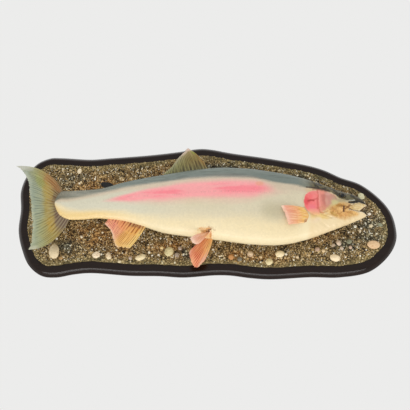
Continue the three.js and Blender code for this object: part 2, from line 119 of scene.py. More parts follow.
def wave_noise(x, z, size, seed):
    """A smooth field between about -1 and 1, made of turned sine waves."""
    random = np.random.default_rng(seed)
    total = np.zeros(np.shape(x))
    for _ in range(7):
        turn, phase = random.uniform(0, 2 * math.pi, 2)
        step = 2 * math.pi / (size * random.uniform(0.7, 1.6))
        total = total + np.sin((x * math.cos(turn) + z * math.sin(turn)) * step + phase)
    return total / 3.2


def monotone_slopes(x, y):
    step = np.diff(y) / np.diff(x)
    slopes = np.empty_like(y)
    slopes[0], slopes[-1] = step[0], step[-1]
    before, after = step[:-1], step[1:]
    same = before * after > 0
    slopes[1:-1] = np.where(same, 2 * before * after / np.where(same, before + after, 1), 0)
    return slopes


STATION_SLOPES = [monotone_slopes(STATIONS[:, 0], STATIONS[:, k]) for k in range(5)]
TOP, BOTTOM, HALF, MIDDLE = 1, 2, 3, 4


def along(column, x):
    """One column of STATIONS at any x, by the solids' own monotone cubic."""
    knots = STATIONS[:, 0]
    x = np.clip(x, TAIL_X, SNOUT_X)
    i = np.clip(np.searchsorted(knots, x, side="right") - 1, 0, len(knots) - 2)
    span = knots[i + 1] - knots[i]
    t = (x - knots[i]) / span
    a, b = STATIONS[i, column], STATIONS[i + 1, column]
    da, db = STATION_SLOPES[column][i], STATION_SLOPES[column][i + 1]
    first = (t - 1) ** 2 * (a * (1 + 2 * t) + da * span * t)
    return first + t ** 2 * (b * (3 - 2 * t) + db * span * (t - 1))


def powered(value):
    return np.sign(value) * np.abs(value) ** (2 / SECTION_POWER)


def body_point(x, angle, lift=0.0, shrink=1.0):
    """A point of the fish at x, round its section by angle, lifted off the solids' surface."""
    top, bottom = along(TOP, x) + lift, along(BOTTOM, x) - lift
    centre, tall = (top + bottom) / 2, (top - bottom) / 2 * shrink
    y = along(MIDDLE, x) + (along(HALF, x) + lift) * shrink * powered(np.cos(angle))
    z = centre + tall * powered(np.sin(angle))
    rest = BED_Y - REST_GAP - 0.25
    y = np.where(y > rest - 2, rest - 2 * np.exp(-(y - rest + 2) / 2), y)
    return np.stack([x + 0 * angle, y, z], -1)


def flank_reach(x, z):
    """How far the flank stands from the section's middle, at side-view point (x, z)."""
    top, bottom = along(TOP, x), along(BOTTOM, x)
    height = np.clip(np.abs(z - (top + bottom) / 2) / ((top - bottom) / 2), 0, 1)
    return along(HALF, x) * (1 - height ** SECTION_POWER) ** (1 / SECTION_POWER)


# ---- meshes ---------------------------------------------------------------------------


def make_piece(name, points, faces, material, uv=None, smooth=True, **attributes):
    """A mesh object from points in millimetres. faces is a list of index arrays, each with
    one number of corners; attributes hold one number, or a colour's four, per point."""
    mesh = bpy.data.meshes.new(name)
    points = np.asarray(points, float)
    groups = [np.asarray(group, np.int32) for group in faces if len(group)]
    corners = np.concatenate([group.ravel() for group in groups])
    counts = np.concatenate([np.full(len(group), group.shape[1], np.int32) for group in groups])
    mesh.vertices.add(len(points))
    mesh.vertices.foreach_set("co", (points * MM).astype(np.float32).ravel())
    mesh.loops.add(len(corners))
    mesh.loops.foreach_set("vertex_index", corners)
    mesh.polygons.add(len(counts))
    starts = np.concatenate([[0], np.cumsum(counts)[:-1]])
    mesh.polygons.foreach_set("loop_start", starts.astype(np.int32))
    mesh.polygons.foreach_set("loop_total", counts)
    mesh.update(calc_edges=True)
    mesh.polygons.foreach_set("use_smooth", np.full(len(counts), smooth))
    for key, values in attributes.items():
        if np.ndim(values) == 2:
            kind, field = "FLOAT_COLOR", "color"
        else:
            kind, field, values = "FLOAT", "value", np.broadcast_to(values, len(points))
        layer = mesh.attributes.new(key, kind, "POINT")
        layer.data.foreach_set(field, values.astype(np.float32).ravel())
    if uv is not None:
        layer = mesh.uv_layers.new(name="OFBake")
        places = unwrapped(np.asarray(uv, float)[corners], groups)
        layer.data.foreach_set("uv", places.astype(np.float32).ravel())
    mesh.materials.append(material)
    mesh.validate()
    piece = bpy.data.objects.new(name, mesh)
    bpy.context.scene.collection.objects.link(piece)
    return piece


def unwrapped(corners, groups):
    """Mends the faces that close a ring: their second coordinate runs on to 1, not back to 0."""
    start = 0
    for group in groups:
        block = corners[start:start + group.size].reshape(*group.shape, 2)
        wide = np.ptp(block[..., 1], axis=1) > 0.9
        low = block[wide, :, 1]
        block[wide, :, 1] = np.where(low < 0.1, low + 1 - 1e-4, low)
        start += group.size
    return np.clip(corners, 0, 1)


def flat_uv(points):
    """Side-view map coordinates for a piece of the board."""
    return points[..., [0, 2]] / UV_SPAN + 0.5


def settle(piece, slot, *nodes):
    """Ties a piece to the part: to its root body, hiding the nodes it replaces. The slot is not used."""
    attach(piece, "root")
    if nodes:
        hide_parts(*nodes)
    return piece


def grid_faces(rows, columns, closed=False):
    """Quads over points stored row by row; closed joins the last column to the first."""
    across = np.arange(columns if closed else columns - 1)
    i, j = np.meshgrid(np.arange(rows - 1), across, indexing="ij")
    here, after = i * columns + j, i * columns + (j + 1) % columns
    return np.stack([here, after, after + columns, here + columns], -1).reshape(-1, 4)


def fan(tip, ring, flip=False):
    """Triangles from one point to a ring of points."""
    after = np.roll(ring, -1)
    pair = (ring, after) if flip else (after, ring)
    return np.stack([np.full(len(ring), tip), *pair], -1)


def prism(name, outline, front, back, material):
    """A closed slab with a side-view outline, between two depths."""
    outline = np.asarray(outline, float)
    count = len(outline)
    near = np.stack([outline[:, 0], np.full(count, front), outline[:, 1]], -1)
    ends = [np.arange(count)[None, ::-1], np.arange(count, 2 * count)[None]]
    points = np.vstack([near, near + [0, back - front, 0]])
    piece = make_piece(name, points, [grid_faces(2, count, closed=True), *ends], material, smooth=False)
    make_outward(piece)
    return piece


def cut_away(piece, cutter):
    """Takes the cutter's form out of the piece; the cut faces carry the cutter's material."""
    cut = piece.modifiers.new("cut", "BOOLEAN")
    cut.operation = "DIFFERENCE"
    cut.object = cutter
    cut.solver = "EXACT"
    cut.material_mode = "TRANSFER"
    bpy.context.view_layer.update()
    evaluated = piece.evaluated_get(bpy.context.evaluated_depsgraph_get())
    mesh = bpy.data.meshes.new_from_object(evaluated)
    piece.modifiers.clear()
    piece.data = mesh
    bpy.data.objects.remove(cutter)


def make_outward(piece, weld=False):
    """Turns the faces outward, and can join points that lie in one place."""
    work = bmesh.new()
    work.from_mesh(piece.data)
    if weld:
        bmesh.ops.remove_doubles(work, verts=work.verts, dist=1e-6)
    if work.calc_volume(signed=True) < 0:
        bmesh.ops.reverse_faces(work, faces=work.faces)
    work.to_mesh(piece.data)
    work.free()


def sharpen(piece, degrees=38):
    """Keeps the edges that turn more than this crisp in a smooth-shaded mesh."""
    bpy.context.view_layer.objects.active = piece
    piece.select_set(True)
    bpy.ops.object.shade_smooth_by_angle(angle=math.radians(degrees))
    piece.select_set(False)


# ---- materials ------------------------------------------------------------------------


def colour(red, green, blue):
    """A colour given as 8-bit screen values, in the renderer's linear values."""
    screen = np.array([red, green, blue]) / 255
    linear = np.where(screen <= 0.04045, screen / 12.92, ((screen + 0.055) / 1.055) ** 2.4)
    return (*linear.tolist(), 1.0)


def tinted(value):
    """Three screen values as a colour; anything else stays as it is."""
    return colour(*value) if isinstance(value, tuple) and len(value) == 3 else value


class Value:
    """A socket that can be used in plain arithmetic, which adds maths nodes."""

    def __init__(self, paint, socket):
        self.paint, self.socket = paint, socket

    def __add__(self, other):
        return self.paint.math("ADD", self, other)

    def __radd__(self, other):
        return self.paint.math("ADD", other, self)

    def __sub__(self, other):
        return self.paint.math("SUBTRACT", self, other)

    def __rsub__(self, other):
        return self.paint.math("SUBTRACT", other, self)

    def __mul__(self, other):
        return self.paint.math("MULTIPLY", self, other)

    def __truediv__(self, other):
        return self.paint.math("DIVIDE", self, other)


class Paint:
    """A material written as expressions: each method adds a node and returns its value.
    Colours are given as three screen values, and lengths in millimetres."""

    def __init__(self, name, **constants):
        self.material = bpy.data.materials.new(name)
        self.material.use_nodes = True
        self.tree = self.material.node_tree
        self.shader = self.tree.nodes["Principled BSDF"]
        for key, value in constants.items():
            self.shader.inputs[key.replace("_", " ")].default_value = value
        metres = self.add("ShaderNodeTexCoord").outputs["Object"]
        scaled = self.add("ShaderNodeVectorMath", operation="SCALE")
        self.tree.links.new(metres, scaled.inputs[0])
        scaled.inputs["Scale"].default_value = 1 / MM
        self.place = Value(self, scaled.outputs[0])
        split = self.add("ShaderNodeSeparateXYZ", self.place)
        self.x, self.y, self.z = (Value(self, output) for output in split.outputs)

    def add(self, kind, *values, **settings):
        """A node with its settings, and with values in its first sockets."""
        node = self.tree.nodes.new(kind)
        for key, setting in settings.items():
            setattr(node, key, setting)
        for socket, value in zip(node.inputs, values):
            self.put(socket, value)
        return node

    def put(self, socket, value):
        if isinstance(value, Value):
            self.tree.links.new(value.socket, socket)
        else:
            socket.default_value = tinted(value)

    def math(self, operation, *values):
        return Value(self, self.add("ShaderNodeMath", *values, operation=operation).outputs[0])

    def vector(self, x, y, z):
        return Value(self, self.add("ShaderNodeCombineXYZ", x, y, z).outputs[0])

    def grey(self, value):
        return Value(self, self.add("ShaderNodeCombineColor", value, value, value).outputs[0])

    def attribute(self, name, output="Fac"):
        return Value(self, self.add("ShaderNodeAttribute", attribute_name=name).outputs[output])

    def smooth(self, value, low, high):
        """0 at low, 1 at high and a soft step between; low may be above high."""
        rising = (0.0, 1.0) if low <= high else (1.0, 0.0)
        ends = (min(low, high), max(low, high), *rising)
        node = self.add("ShaderNodeMapRange", value, *ends, interpolation_type="SMOOTHSTEP")
        return Value(self, node.outputs["Result"])

    def ramp(self, value, stops):
        node = self.add("ShaderNodeValToRGB", value)
        elements = node.color_ramp.elements
        while len(elements) < len(stops):
            elements.new(1.0)
        for element, (position, tint) in zip(elements, stops):
            element.position = position
            element.color = tinted(tint)
        return Value(self, node.outputs["Color"])

    def lookup(self, value, table):
        """A number that follows a table of (value, number) pairs."""
        low, high = table[0][0], table[-1][0]
        least, most = min(n for _, n in table), max(n for _, n in table)
        position = (value - low) / (high - low)
        greys = [(at, (n - least) / (most - least)) for at, n in table]
        stops = [((at - low) / (high - low), (grey, grey, grey, 1.0)) for at, grey in greys]
        return self.ramp(position, stops) * (most - least) + least

    def mix(self, factor, a, b, kind="MIX"):
        node = self.add("ShaderNodeMix", factor, data_type="RGBA", blend_type=kind)
        self.put(node.inputs[6], a)
        self.put(node.inputs[7], b)
        return Value(self, node.outputs[2])

    def stretched(self, size, stretch, where=None):
        scale = [1 / (size * s) for s in stretch]
        mapping = self.add("ShaderNodeMapping", where or self.place)
        mapping.inputs["Scale"].default_value = scale
        return Value(self, mapping.outputs[0])

    def noise(self, size, detail=3.0, stretch=(1, 1, 1), distortion=0.0, where=None):
        """Noise with features about size millimetres across, drawn out by stretch."""
        node = self.add("ShaderNodeTexNoise", self.stretched(size, stretch, where))
        for key, value in (("Scale", 1.0), ("Detail", detail), ("Distortion", distortion)):
            node.inputs[key].default_value = value
        return Value(self, node.outputs["Fac"])

    def cells(self, size):
        """The distance to the nearest of scattered points, about size millimetres apart."""
        node = self.add("ShaderNodeTexVoronoi", self.stretched(size, (1, 1, 1)))
        node.inputs["Scale"].default_value = 1.0
        return Value(self, node.outputs["Distance"])

    def blob(self, x, z, wide, high, soft=0.45, tilt=0.0):
        """A soft-edged ellipse of paint seen from the side: its middle, half sizes and tilt."""
        dx, dz = self.x - x, self.z - z
        turn = math.radians(tilt)
        across = dx * (math.cos(turn) / wide) + dz * (math.sin(turn) / wide)
        up = dz * (math.cos(turn) / high) - dx * (math.sin(turn) / high)
        reach = self.math("SQRT", across * across + up * up)
        return self.smooth(reach, 1 + soft, 1 - soft)

    def relief(self, height, strength, distance):
        """Fine bumps: their height's field, how strong, and how deep in metres."""
        node = self.add("ShaderNodeBump")
        node.inputs["Strength"].default_value = strength
        node.inputs["Distance"].default_value = distance
        self.put(node.inputs["Height"], height)
        self.put(self.shader.inputs["Normal"], Value(self, node.outputs[0]))

    def finish(self, base, roughness=None):
        self.put(self.shader.inputs["Base Color"], base)
        if roughness is not None:
            self.put(self.shader.inputs["Roughness"], roughness)
        return self.material


def fish_paint():
    """The painted skin. Side-view x and z place the marks, and the height attribute gives
    how far up the flank a point lies, from 0 at the belly to 1 at the back."""
    p = Paint("fish_paint", Coat_Weight=0.2, Coat_Roughness=0.18, Roughness=0.38,
              Specular_IOR_Level=0.3)
    up = p.attribute("height")
    tone = p.attribute("tone")
    streaks = p.noise(16, detail=4, stretch=(5, 1, 0.7))
    cloud = p.noise(34, detail=3, stretch=(1.8, 1, 1))
    fine = p.noise(3.0, detail=2)

    belly = p.mix(cloud, (246, 225, 178), (250, 234, 196))
    gold = p.smooth(p.x, -90, -250) * p.smooth(up, 0.34, 0.1)
    belly = p.mix(gold * 0.8, belly, (247, 212, 140))
    flank = p.mix(cloud, (224, 212, 178), (231, 221, 196))
    flank = p.mix(p.smooth(p.x, -50, -150) * 0.6, flank, (222, 221, 202))
    belly_edge = p.lookup(p.x, [
        (-297, 0.44), (-270, 0.34), (-246, 0.25), (-188, 0.18), (-109, 0.18), (-12, 0.22), (84, 0.26),
        (181, 0.28), (240, 0.24)])
    raised = up - belly_edge + (streaks - 0.5) * 0.12
    base = p.mix(p.smooth(raised, -0.09, 0.11), belly, flank)

    back = p.mix(cloud, (104, 118, 113), (136, 145, 137))
    back = p.mix(p.smooth(p.x, -150, -240) * 0.7, back, (156, 152, 134))
    back = p.mix(p.smooth(p.x, -252, -292) * 0.6, back, (112, 104, 80))
    flecks = p.smooth(p.noise(7, detail=4, stretch=(5, 1, 0.8)), 0.5, 0.62)
    back = p.mix(flecks * 0.35, back, (84, 92, 84))
    back_edge = p.lookup(p.x, [
        (-297, 0.6), (-283, 0.64), (-270, 0.67), (-250, 0.71), (-209, 0.785), (-110, 0.815),
        (-12, 0.805), (85, 0.81), (154, 0.785), (190, 0.79), (223, 0.82), (262, 0.74)])
    over = up - back_edge + (streaks - 0.5) * 0.08
    pale = p.mix(cloud, (222, 200, 176), (214, 204, 178))
    base = p.mix(p.smooth(over, -0.16, -0.045), base, pale)
    spread = 0.03 + p.smooth(p.x, -60, -220) * 0.04
    base = p.mix(p.smooth(over / spread, -1.1, 1.0), base, back)

    centre = p.lookup(p.x, [
        (-200, 0.49), (-169, 0.505), (-149, 0.525), (-110, 0.59), (-61, 0.615), (46, 0.635),
        (85, 0.65), (114, 0.68), (150, 0.69)])
    half = p.lookup(p.x, [
        (-215, 0.03), (-188, 0.065), (-149, 0.105), (-110, 0.125), (46, 0.13), (85, 0.115),
        (114, 0.085), (150, 0.05)])
    offset = p.math("ABSOLUTE", up - centre) / half
    wavering = offset + (streaks - 0.5) * 0.55
    blush = p.smooth(wavering, 2.0, 0.8) * (p.smooth(p.x, -205, -130) * p.smooth(p.x, 176, 110))
    blush = blush * (0.15 + p.smooth(up - centre, 0.04, -0.04) * 0.4)
    base = p.mix(blush, base, (244, 190, 176))
    stripe = p.smooth(wavering, 1.3, 0.55)
    stripe = stripe * (p.smooth(p.x, -212, -150) * p.smooth(p.x, 142, 96))
    base = p.mix(stripe * 0.93, base, (255, 166, 170))
    heart = p.smooth(wavering, 0.8, 0.15) * p.smooth(streaks, 0.4, 0.58)
    base = p.mix(heart * stripe * 0.7, base, (255, 126, 142))
    base = p.mix(p.blob(104, 30, 8, 5) * 0.5, base, (240, 160, 120))
    # Painted shadow of the near pectoral fin, on the flank behind it.
    base = p.mix(p.blob(131, -26, 24, 18, soft=0.7) * 0.34, base, (160, 150, 108))

    base = p.mix(lateral_line(p, up) * 0.22, base, (150, 120, 100))
    marks = p.mix(p.attribute("cover"), base, (0, 0, 0))
    base = p.mix(1.0, marks, p.attribute("marks", "Color"), kind="ADD")
    base = p.mix(0.12, base, p.mix(fine, (120, 110, 92), (255, 246, 226)), kind="SOFT_LIGHT")
    shade = 0.895 + tone * 0.06 + stripe * 0.06
    base = p.mix(1.0, base, p.grey(shade), kind="MULTIPLY")
    grain = fine * 0.5 + p.noise(0.7, detail=1) * 0.3
    p.relief(grain, 0.25, 0.0003)
    return p.finish(base, 0.3 + p.noise(9, detail=2) * 0.16)


def lateral_line(p, up):
    """The row of pores along the middle of the flank."""
    centre = p.lookup(p.x, [(-297, 0.5), (-200, 0.52), (-60, 0.56), (120, 0.62), (186, 0.66)])
    near = p.smooth(p.math("ABSOLUTE", up - centre), 0.009, 0.003)
    pores = p.smooth(p.math("SINE", p.x * 1.8), 0.1, 0.7)
    return near * pores * p.smooth(p.x, 186, 178)


CROWN_EDGE = [
    (186, 26), (200, 24), (207, 23.5), (218, 22), (231, 20.5), (238, 19.5), (246, 18), (253, 13),
    (258, 7.6), (262, 4.8), (270, 3), (278, 3), (284, 0.5), (290, -2.5), (296, -2), (302, -1),
    (310, -1), (316, -3)]
CHEEK_LOW = [(216, -27), (224, -26), (231, -21), (238, -13), (246, -6), (255, 0), (258, 4)]
CHEEK_HIGH = [(216, 22), (225, 21), (233, 19.5), (241, 17), (249, 13), (255, 8), (258, 5)]
JAW_PATCH_LOW = [(240, -30), (250, -34), (260, -36), (272, -35.5), (282, -31.5), (292, -28), (300, -25)]
JAW_PATCH_HIGH = [
    (240, -18), (246, -13), (254, -9), (262, -4), (270, -3), (279, -4), (284, -9), (288, -17),
    (294, -20), (300, -22)]
LIP_LOW = [(280, -12), (284, -15.5), (291, -17), (298, -17.3), (304, -13.5), (309, -9), (314, -5.5)]
LIP_HIGH = [(280, -10.5), (285, -7), (290, -4.6), (298, -2.4), (306, -1.8), (311, -2.6), (314, -4.5)]


class Marks:
    """Painted marks worked out at side-view points. A layer of paint is four numbers a point:
    its colour weighted by how far it covers, and that cover."""

    def __init__(self, x, y, z):
        self.slant = y + z
        self.x = x + (soft_noise(x, self.slant, 5, 11) - 0.5) * 3
        self.z = z + (soft_noise(x, self.slant, 5, 12) - 0.5) * 3

    def lookup(self, table):
        return np.interp(self.x, [at for at, _ in table], [value for _, value in table])

    def between(self, low, high, soft):
        """A region between two tables of (x, z), with soft edges."""
        start, end = max(low[0][0], high[0][0]), min(low[-1][0], high[-1][0])
        ends = smoothstep(start - soft, start + soft, self.x)
        ends = ends * smoothstep(end + soft, end - soft, self.x)
        above, below = self.z - self.lookup(low), self.lookup(high) - self.z
        return smoothstep(-soft, soft, above) * smoothstep(-soft, soft, below) * ends

    def blob(self, x, z, wide, high, soft=0.5, tilt=0.0):
        """A soft-edged ellipse: its middle, half sizes and tilt."""
        dx, dz, turn = self.x - x, self.z - z, math.radians(tilt)
        across = (dx * math.cos(turn) + dz * math.sin(turn)) / wide
        up = (dz * math.cos(turn) - dx * math.sin(turn)) / high
        return smoothstep(1 + soft, 1 - soft, np.hypot(across, up))

    def stroke(self, points, width, soft=0.8):
        """A soft-edged line through points."""
        distance, _ = segment_distance(self.x, self.z, points)
        return smoothstep(width / 2 + soft, max(width / 2 - soft, 0), distance)

    def noise(self, size, seed, stretch=1.0):
        return soft_noise(self.x / stretch, self.slant, size, seed)

    def ramp(self, low, high, stops):
        """Colours that follow x from low to high."""
        at = np.clip((self.x - low) / (high - low), 0, 1)
        tints = np.array([tinted(tint) for _, tint in stops])
        return np.stack([np.interp(at, [a for a, _ in stops], tints[:, k]) for k in range(4)], -1)

    def mix(self, factor, a, b):
        a, b = np.asarray(tinted(a)), np.asarray(tinted(b))
        return a + (b - a) * np.broadcast_to(factor, self.x.shape)[..., None]

    def dabs(self, base, spots, soft=0.6):
        """Lays soft ellipses of paint: x, z, half width, half height, tilt, colour, strength."""
        for x, z, wide, high, tilt, tint, strength in spots:
            base = self.mix(self.blob(x, z, wide, high, soft, tilt) * strength, base, tint)
        return base

    def strokes(self, base, lines, soft=0.9):
        """Lays soft lines of paint: points, width, colour, strength."""
        for points, width, tint, strength in lines:
            base = self.mix(self.stroke(points, width, soft) * strength, base, tint)
        return base


def soft_noise(x, z, size, seed, octaves=3):
    """Smooth random values about 0.5, with features about size millimetres across."""
    table = np.random.default_rng(seed).uniform(0, 1, (64, 64))
    total, weight = 0, 0
    for octave in range(octaves):
        u, v = x / size * 2 ** octave, z / size * 2 ** octave
        i, j = np.floor(u).astype(int), np.floor(v).astype(int)
        fu, fv = smoothstep(0, 1, u - i), smoothstep(0, 1, v - j)
        near = table[i % 64, j % 64] * (1 - fu) + table[(i + 1) % 64, j % 64] * fu
        far = table[i % 64, (j + 1) % 64] * (1 - fu) + table[(i + 1) % 64, (j + 1) % 64] * fu
        total = total + (near * (1 - fv) + far * fv) * 0.6 ** octave
        weight += 0.6 ** octave
    return total / weight


def painted_marks(x, y, z):
    """The marks laid over the body's paint: the pelvic fin's stained root, and the whole head
    from the gill forward."""
    p = Marks(x, y, z)
    cloud, fine = p.noise(24, 1), p.noise(3, 2)
    cream = p.mix(cloud, (240, 213, 164), (247, 225, 184))
    cream = p.dabs(cream, [
        (205, -38, 14, 8, 0, (247, 218, 192), 0.45), (204, -29, 8, 12, 0, (247, 210, 130), 0.75),
        (208, -31, 15, 6, 0, (234, 196, 130), 0.8), (227, -34, 11, 5, -8, (244, 206, 126), 0.8),
        (238, -14, 17, 14, 0, (218, 176, 122), 0.95), (250, -6, 9, 7, 0, (216, 200, 140), 0.9),
        (240, -26, 8, 5, -20, (246, 210, 142), 0.8), (264, -1, 15, 6, 0, (180, 164, 126), 0.9),
        (279, 0.5, 5, 3, 0, (194, 184, 154), 0.7)])
    paint = pelvic_root_paint(p, np.zeros((*x.shape, 4)))
    paint = p.mix(smoothstep(192, 206, x), paint, cream)
    paint = p.dabs(paint, [(200, 19, 9, 4, 0, (220, 188, 150), 0.6)])
    paint = cheek_paint(p, paint, fine)
    paint = gill_cover_paint(p, paint, fine)
    paint = jaw_corner_paint(p, paint, fine)
    return crown_paint(p, paint, fine)


def pelvic_root_paint(p, base):
    """The orange and brown stain where the near pelvic fin leaves the belly."""
    base = p.dabs(base, [
        (-2, -64, 14, 6, 0, (249, 214, 140), 0.6), (5, -67, 7, 5, -30, (232, 168, 88), 0.8)])
    base = p.strokes(base, [
        ([(-12, -60), (-4, -58.5), (4, -59), (10, -60.5)], 2.6, (222, 150, 78), 0.8),
        ([(-6, -64), (2, -62.5), (8, -64), (12, -67.5), (11.5, -72)], 3.2, (208, 132, 56), 0.85),
        ([(8, -57.5), (12.5, -61.5)], 2.2, (196, 128, 66), 0.7),
        ([(16.5, -59.5), (18.5, -63.5)], 2.0, (190, 148, 100), 0.6)], soft=1.4)
    return p.dabs(base, [
        (6.5, -63.5, 3.4, 2.4, 20, (112, 62, 16), 0.97), (12, -61, 2.4, 2, 0, (138, 82, 28), 0.85)])


def cheek_paint(p, base, fine):
    """The pink plate between the eye and the gill cover, with the bones' edges below it."""
    cheek = p.between(CHEEK_LOW, CHEEK_HIGH, 3.4)
    tint = p.ramp(216, 256, [
        (0.0, (246, 138, 130)), (0.15, (242, 146, 134)), (0.34, (208, 128, 114)),
        (0.55, (212, 150, 136)), (0.75, (202, 160, 138)), (1.0, (182, 160, 130))])
    tint = p.mix(smoothstep(-8, -20, p.z) * 0.6, tint, (230, 162, 128))
    tint = p.mix(smoothstep(0.45, 0.7, fine) * 0.25, tint, (228, 128, 122))
    base = p.mix(cheek * 0.96, base, tint)
    base = p.dabs(base, [
        (229, 3, 4, 13, 4, (200, 116, 106), 0.5), (240, 6, 5, 5.5, 0, (212, 142, 132), 0.5),
        (238, 13, 5, 3.2, 0, (232, 176, 164), 0.5), (234, -4, 3, 8, 0, (230, 176, 154), 0.5),
        (247, 9, 4, 3.5, 0, (202, 138, 122), 0.45), (251, -4, 7, 5, 0, (216, 202, 146), 0.85),
        (227, 15, 5, 4, 0, (250, 158, 138), 0.7)])
    return p.strokes(base, [
        ([(249, 13), (253, 8), (254, 4)], 2.0, (196, 108, 96), 0.45),
        ([(221, -27), (228, -27.5), (236, -24)], 2.2, (206, 148, 88), 0.75),
        ([(222, -31.5), (230, -32.5), (238, -30)], 1.6, (214, 168, 96), 0.55),
        ([(224, -36), (232, -38), (243, -36)], 1.4, (220, 182, 120), 0.4)])


def gill_cover_paint(p, base, fine):
    """The red gill cover: deepest at its rear edge, with darker seams and pale lower edges, painted
    shade and a painted highlight along the preopercle, and a tan line of painted shadow under its lower
    rim.
    """
    radius = np.hypot(p.x - GILL_CENTRE[0], p.z - GILL_CENTRE[1])
    cover = smoothstep(GILL_RADIUS + 0.8, GILL_RADIUS - 1.4, radius) * smoothstep(221, 217.5, p.x)
    red = p.ramp(187, 220, [
        (0.0, (246, 102, 102)), (0.25, (252, 114, 112)), (0.6, (255, 124, 126)),
        (0.85, (255, 132, 128)), (1.0, (250, 120, 118))])
    red = p.mix(smoothstep(5, 17, p.z) * 0.45, red, (236, 158, 146))
    red = p.mix(smoothstep(0.45, 0.7, fine) * 0.3, red, (255, 158, 152))
    red = p.dabs(red, [
        (194, -6.5, 6, 7, 0, (232, 78, 86), 0.85), (189.5, 0, 4, 6, 0, (246, 100, 106), 0.6),
        (204, -18, 8, 5, 0, (248, 130, 142), 0.7), (209, -25, 13, 4.5, 0, (248, 172, 146), 0.75),
        (211, 3, 5, 4, 0, (255, 150, 144), 0.5)])
    red = p.strokes(red, [
        ([(197, -5.5), (203, -4), (209, -3.4)], 3.4, (188, 62, 58), 0.9),
        ([(209, -0.5), (213, -0.6), (218, -0.4)], 2.4, (212, 92, 88), 0.7),
        # Painted shade in the groove along the preopercle, on the cover.
        ([(216.2, 2), (216, -8), (216.4, -20)], 3.4, (214, 100, 94), 0.75)], soft=1.2)
    fade = smoothstep(-32, -24, p.z)
    base = p.mix(cover * (0.25 + 0.75 * fade), base, red)
    return p.strokes(base, [
        # A tan line of painted shadow just under the cover's lower rim.
        ([(190, -18), (195, -25), (201, -30), (208, -32)], 2.6, (214, 156, 116), 0.6),
        # A painted highlight along the preopercle's edge.
        ([(219.8, 17), (220.2, 3), (220.4, -14)], 1.8, (252, 168, 158), 0.75),
        # Painted shade in the groove beside it, above the cover.
        ([(216.6, 20), (217.6, 10), (218, 2)], 1.8, (208, 102, 78), 0.6),
        ([(217.6, -17), (219.5, -25), (227, -28)], 1.8, (212, 124, 92), 0.6)])


def crown_paint(p, base, fine):
    """The dark top of the head, from the shoulders over the eye to the snout, with a painted highlight
    above the brow crease.
    """
    above = p.z - p.lookup(CROWN_EDGE) + (p.noise(6, 3) - 0.5) * 3
    dark = smoothstep(-3.2, 2.4, above) * smoothstep(180, 192, p.x)
    blotches = smoothstep(0.36, 0.64, p.noise(5, 4))
    crown = p.mix(blotches, (40, 34, 10), (102, 92, 58))
    crown = p.mix(smoothstep(214, 192, p.x), crown, p.mix(fine, (112, 118, 108), (142, 144, 130)))
    crown = p.mix(smoothstep(286, 300, p.x) * 0.8, crown, (58, 48, 22))
    crown = p.mix(p.blob(280, 9, 8, 4, soft=0.7) * 0.5, crown, (106, 104, 78))
    base = p.mix(dark, base, crown)
    base = p.strokes(base, [
        ([(208, 21), (217, 20.6), (226, 19.4), (235, 17.8)], 2.6, (170, 108, 84), 0.6),
        ([(196, 25.5), (206, 24.4), (214, 24.2), (222, 23.2), (233, 21.5), (241, 20)], 3.8,
         (62, 44, 26), 0.85),
        # A painted highlight above the brow crease.
        ([(281, 3.2), (287, 3.6), (292, 5)], 2.0, (206, 206, 192), 0.9),
        (BROW_CREASE, 4.4, (30, 22, 8), 0.97)])
    socket = p.blob(EYE["x"], EYE["z"], 8.4, 7.6, soft=0.16)
    return p.mix(socket * 0.9, base, p.mix(fine, (26, 24, 12), (52, 48, 30)))


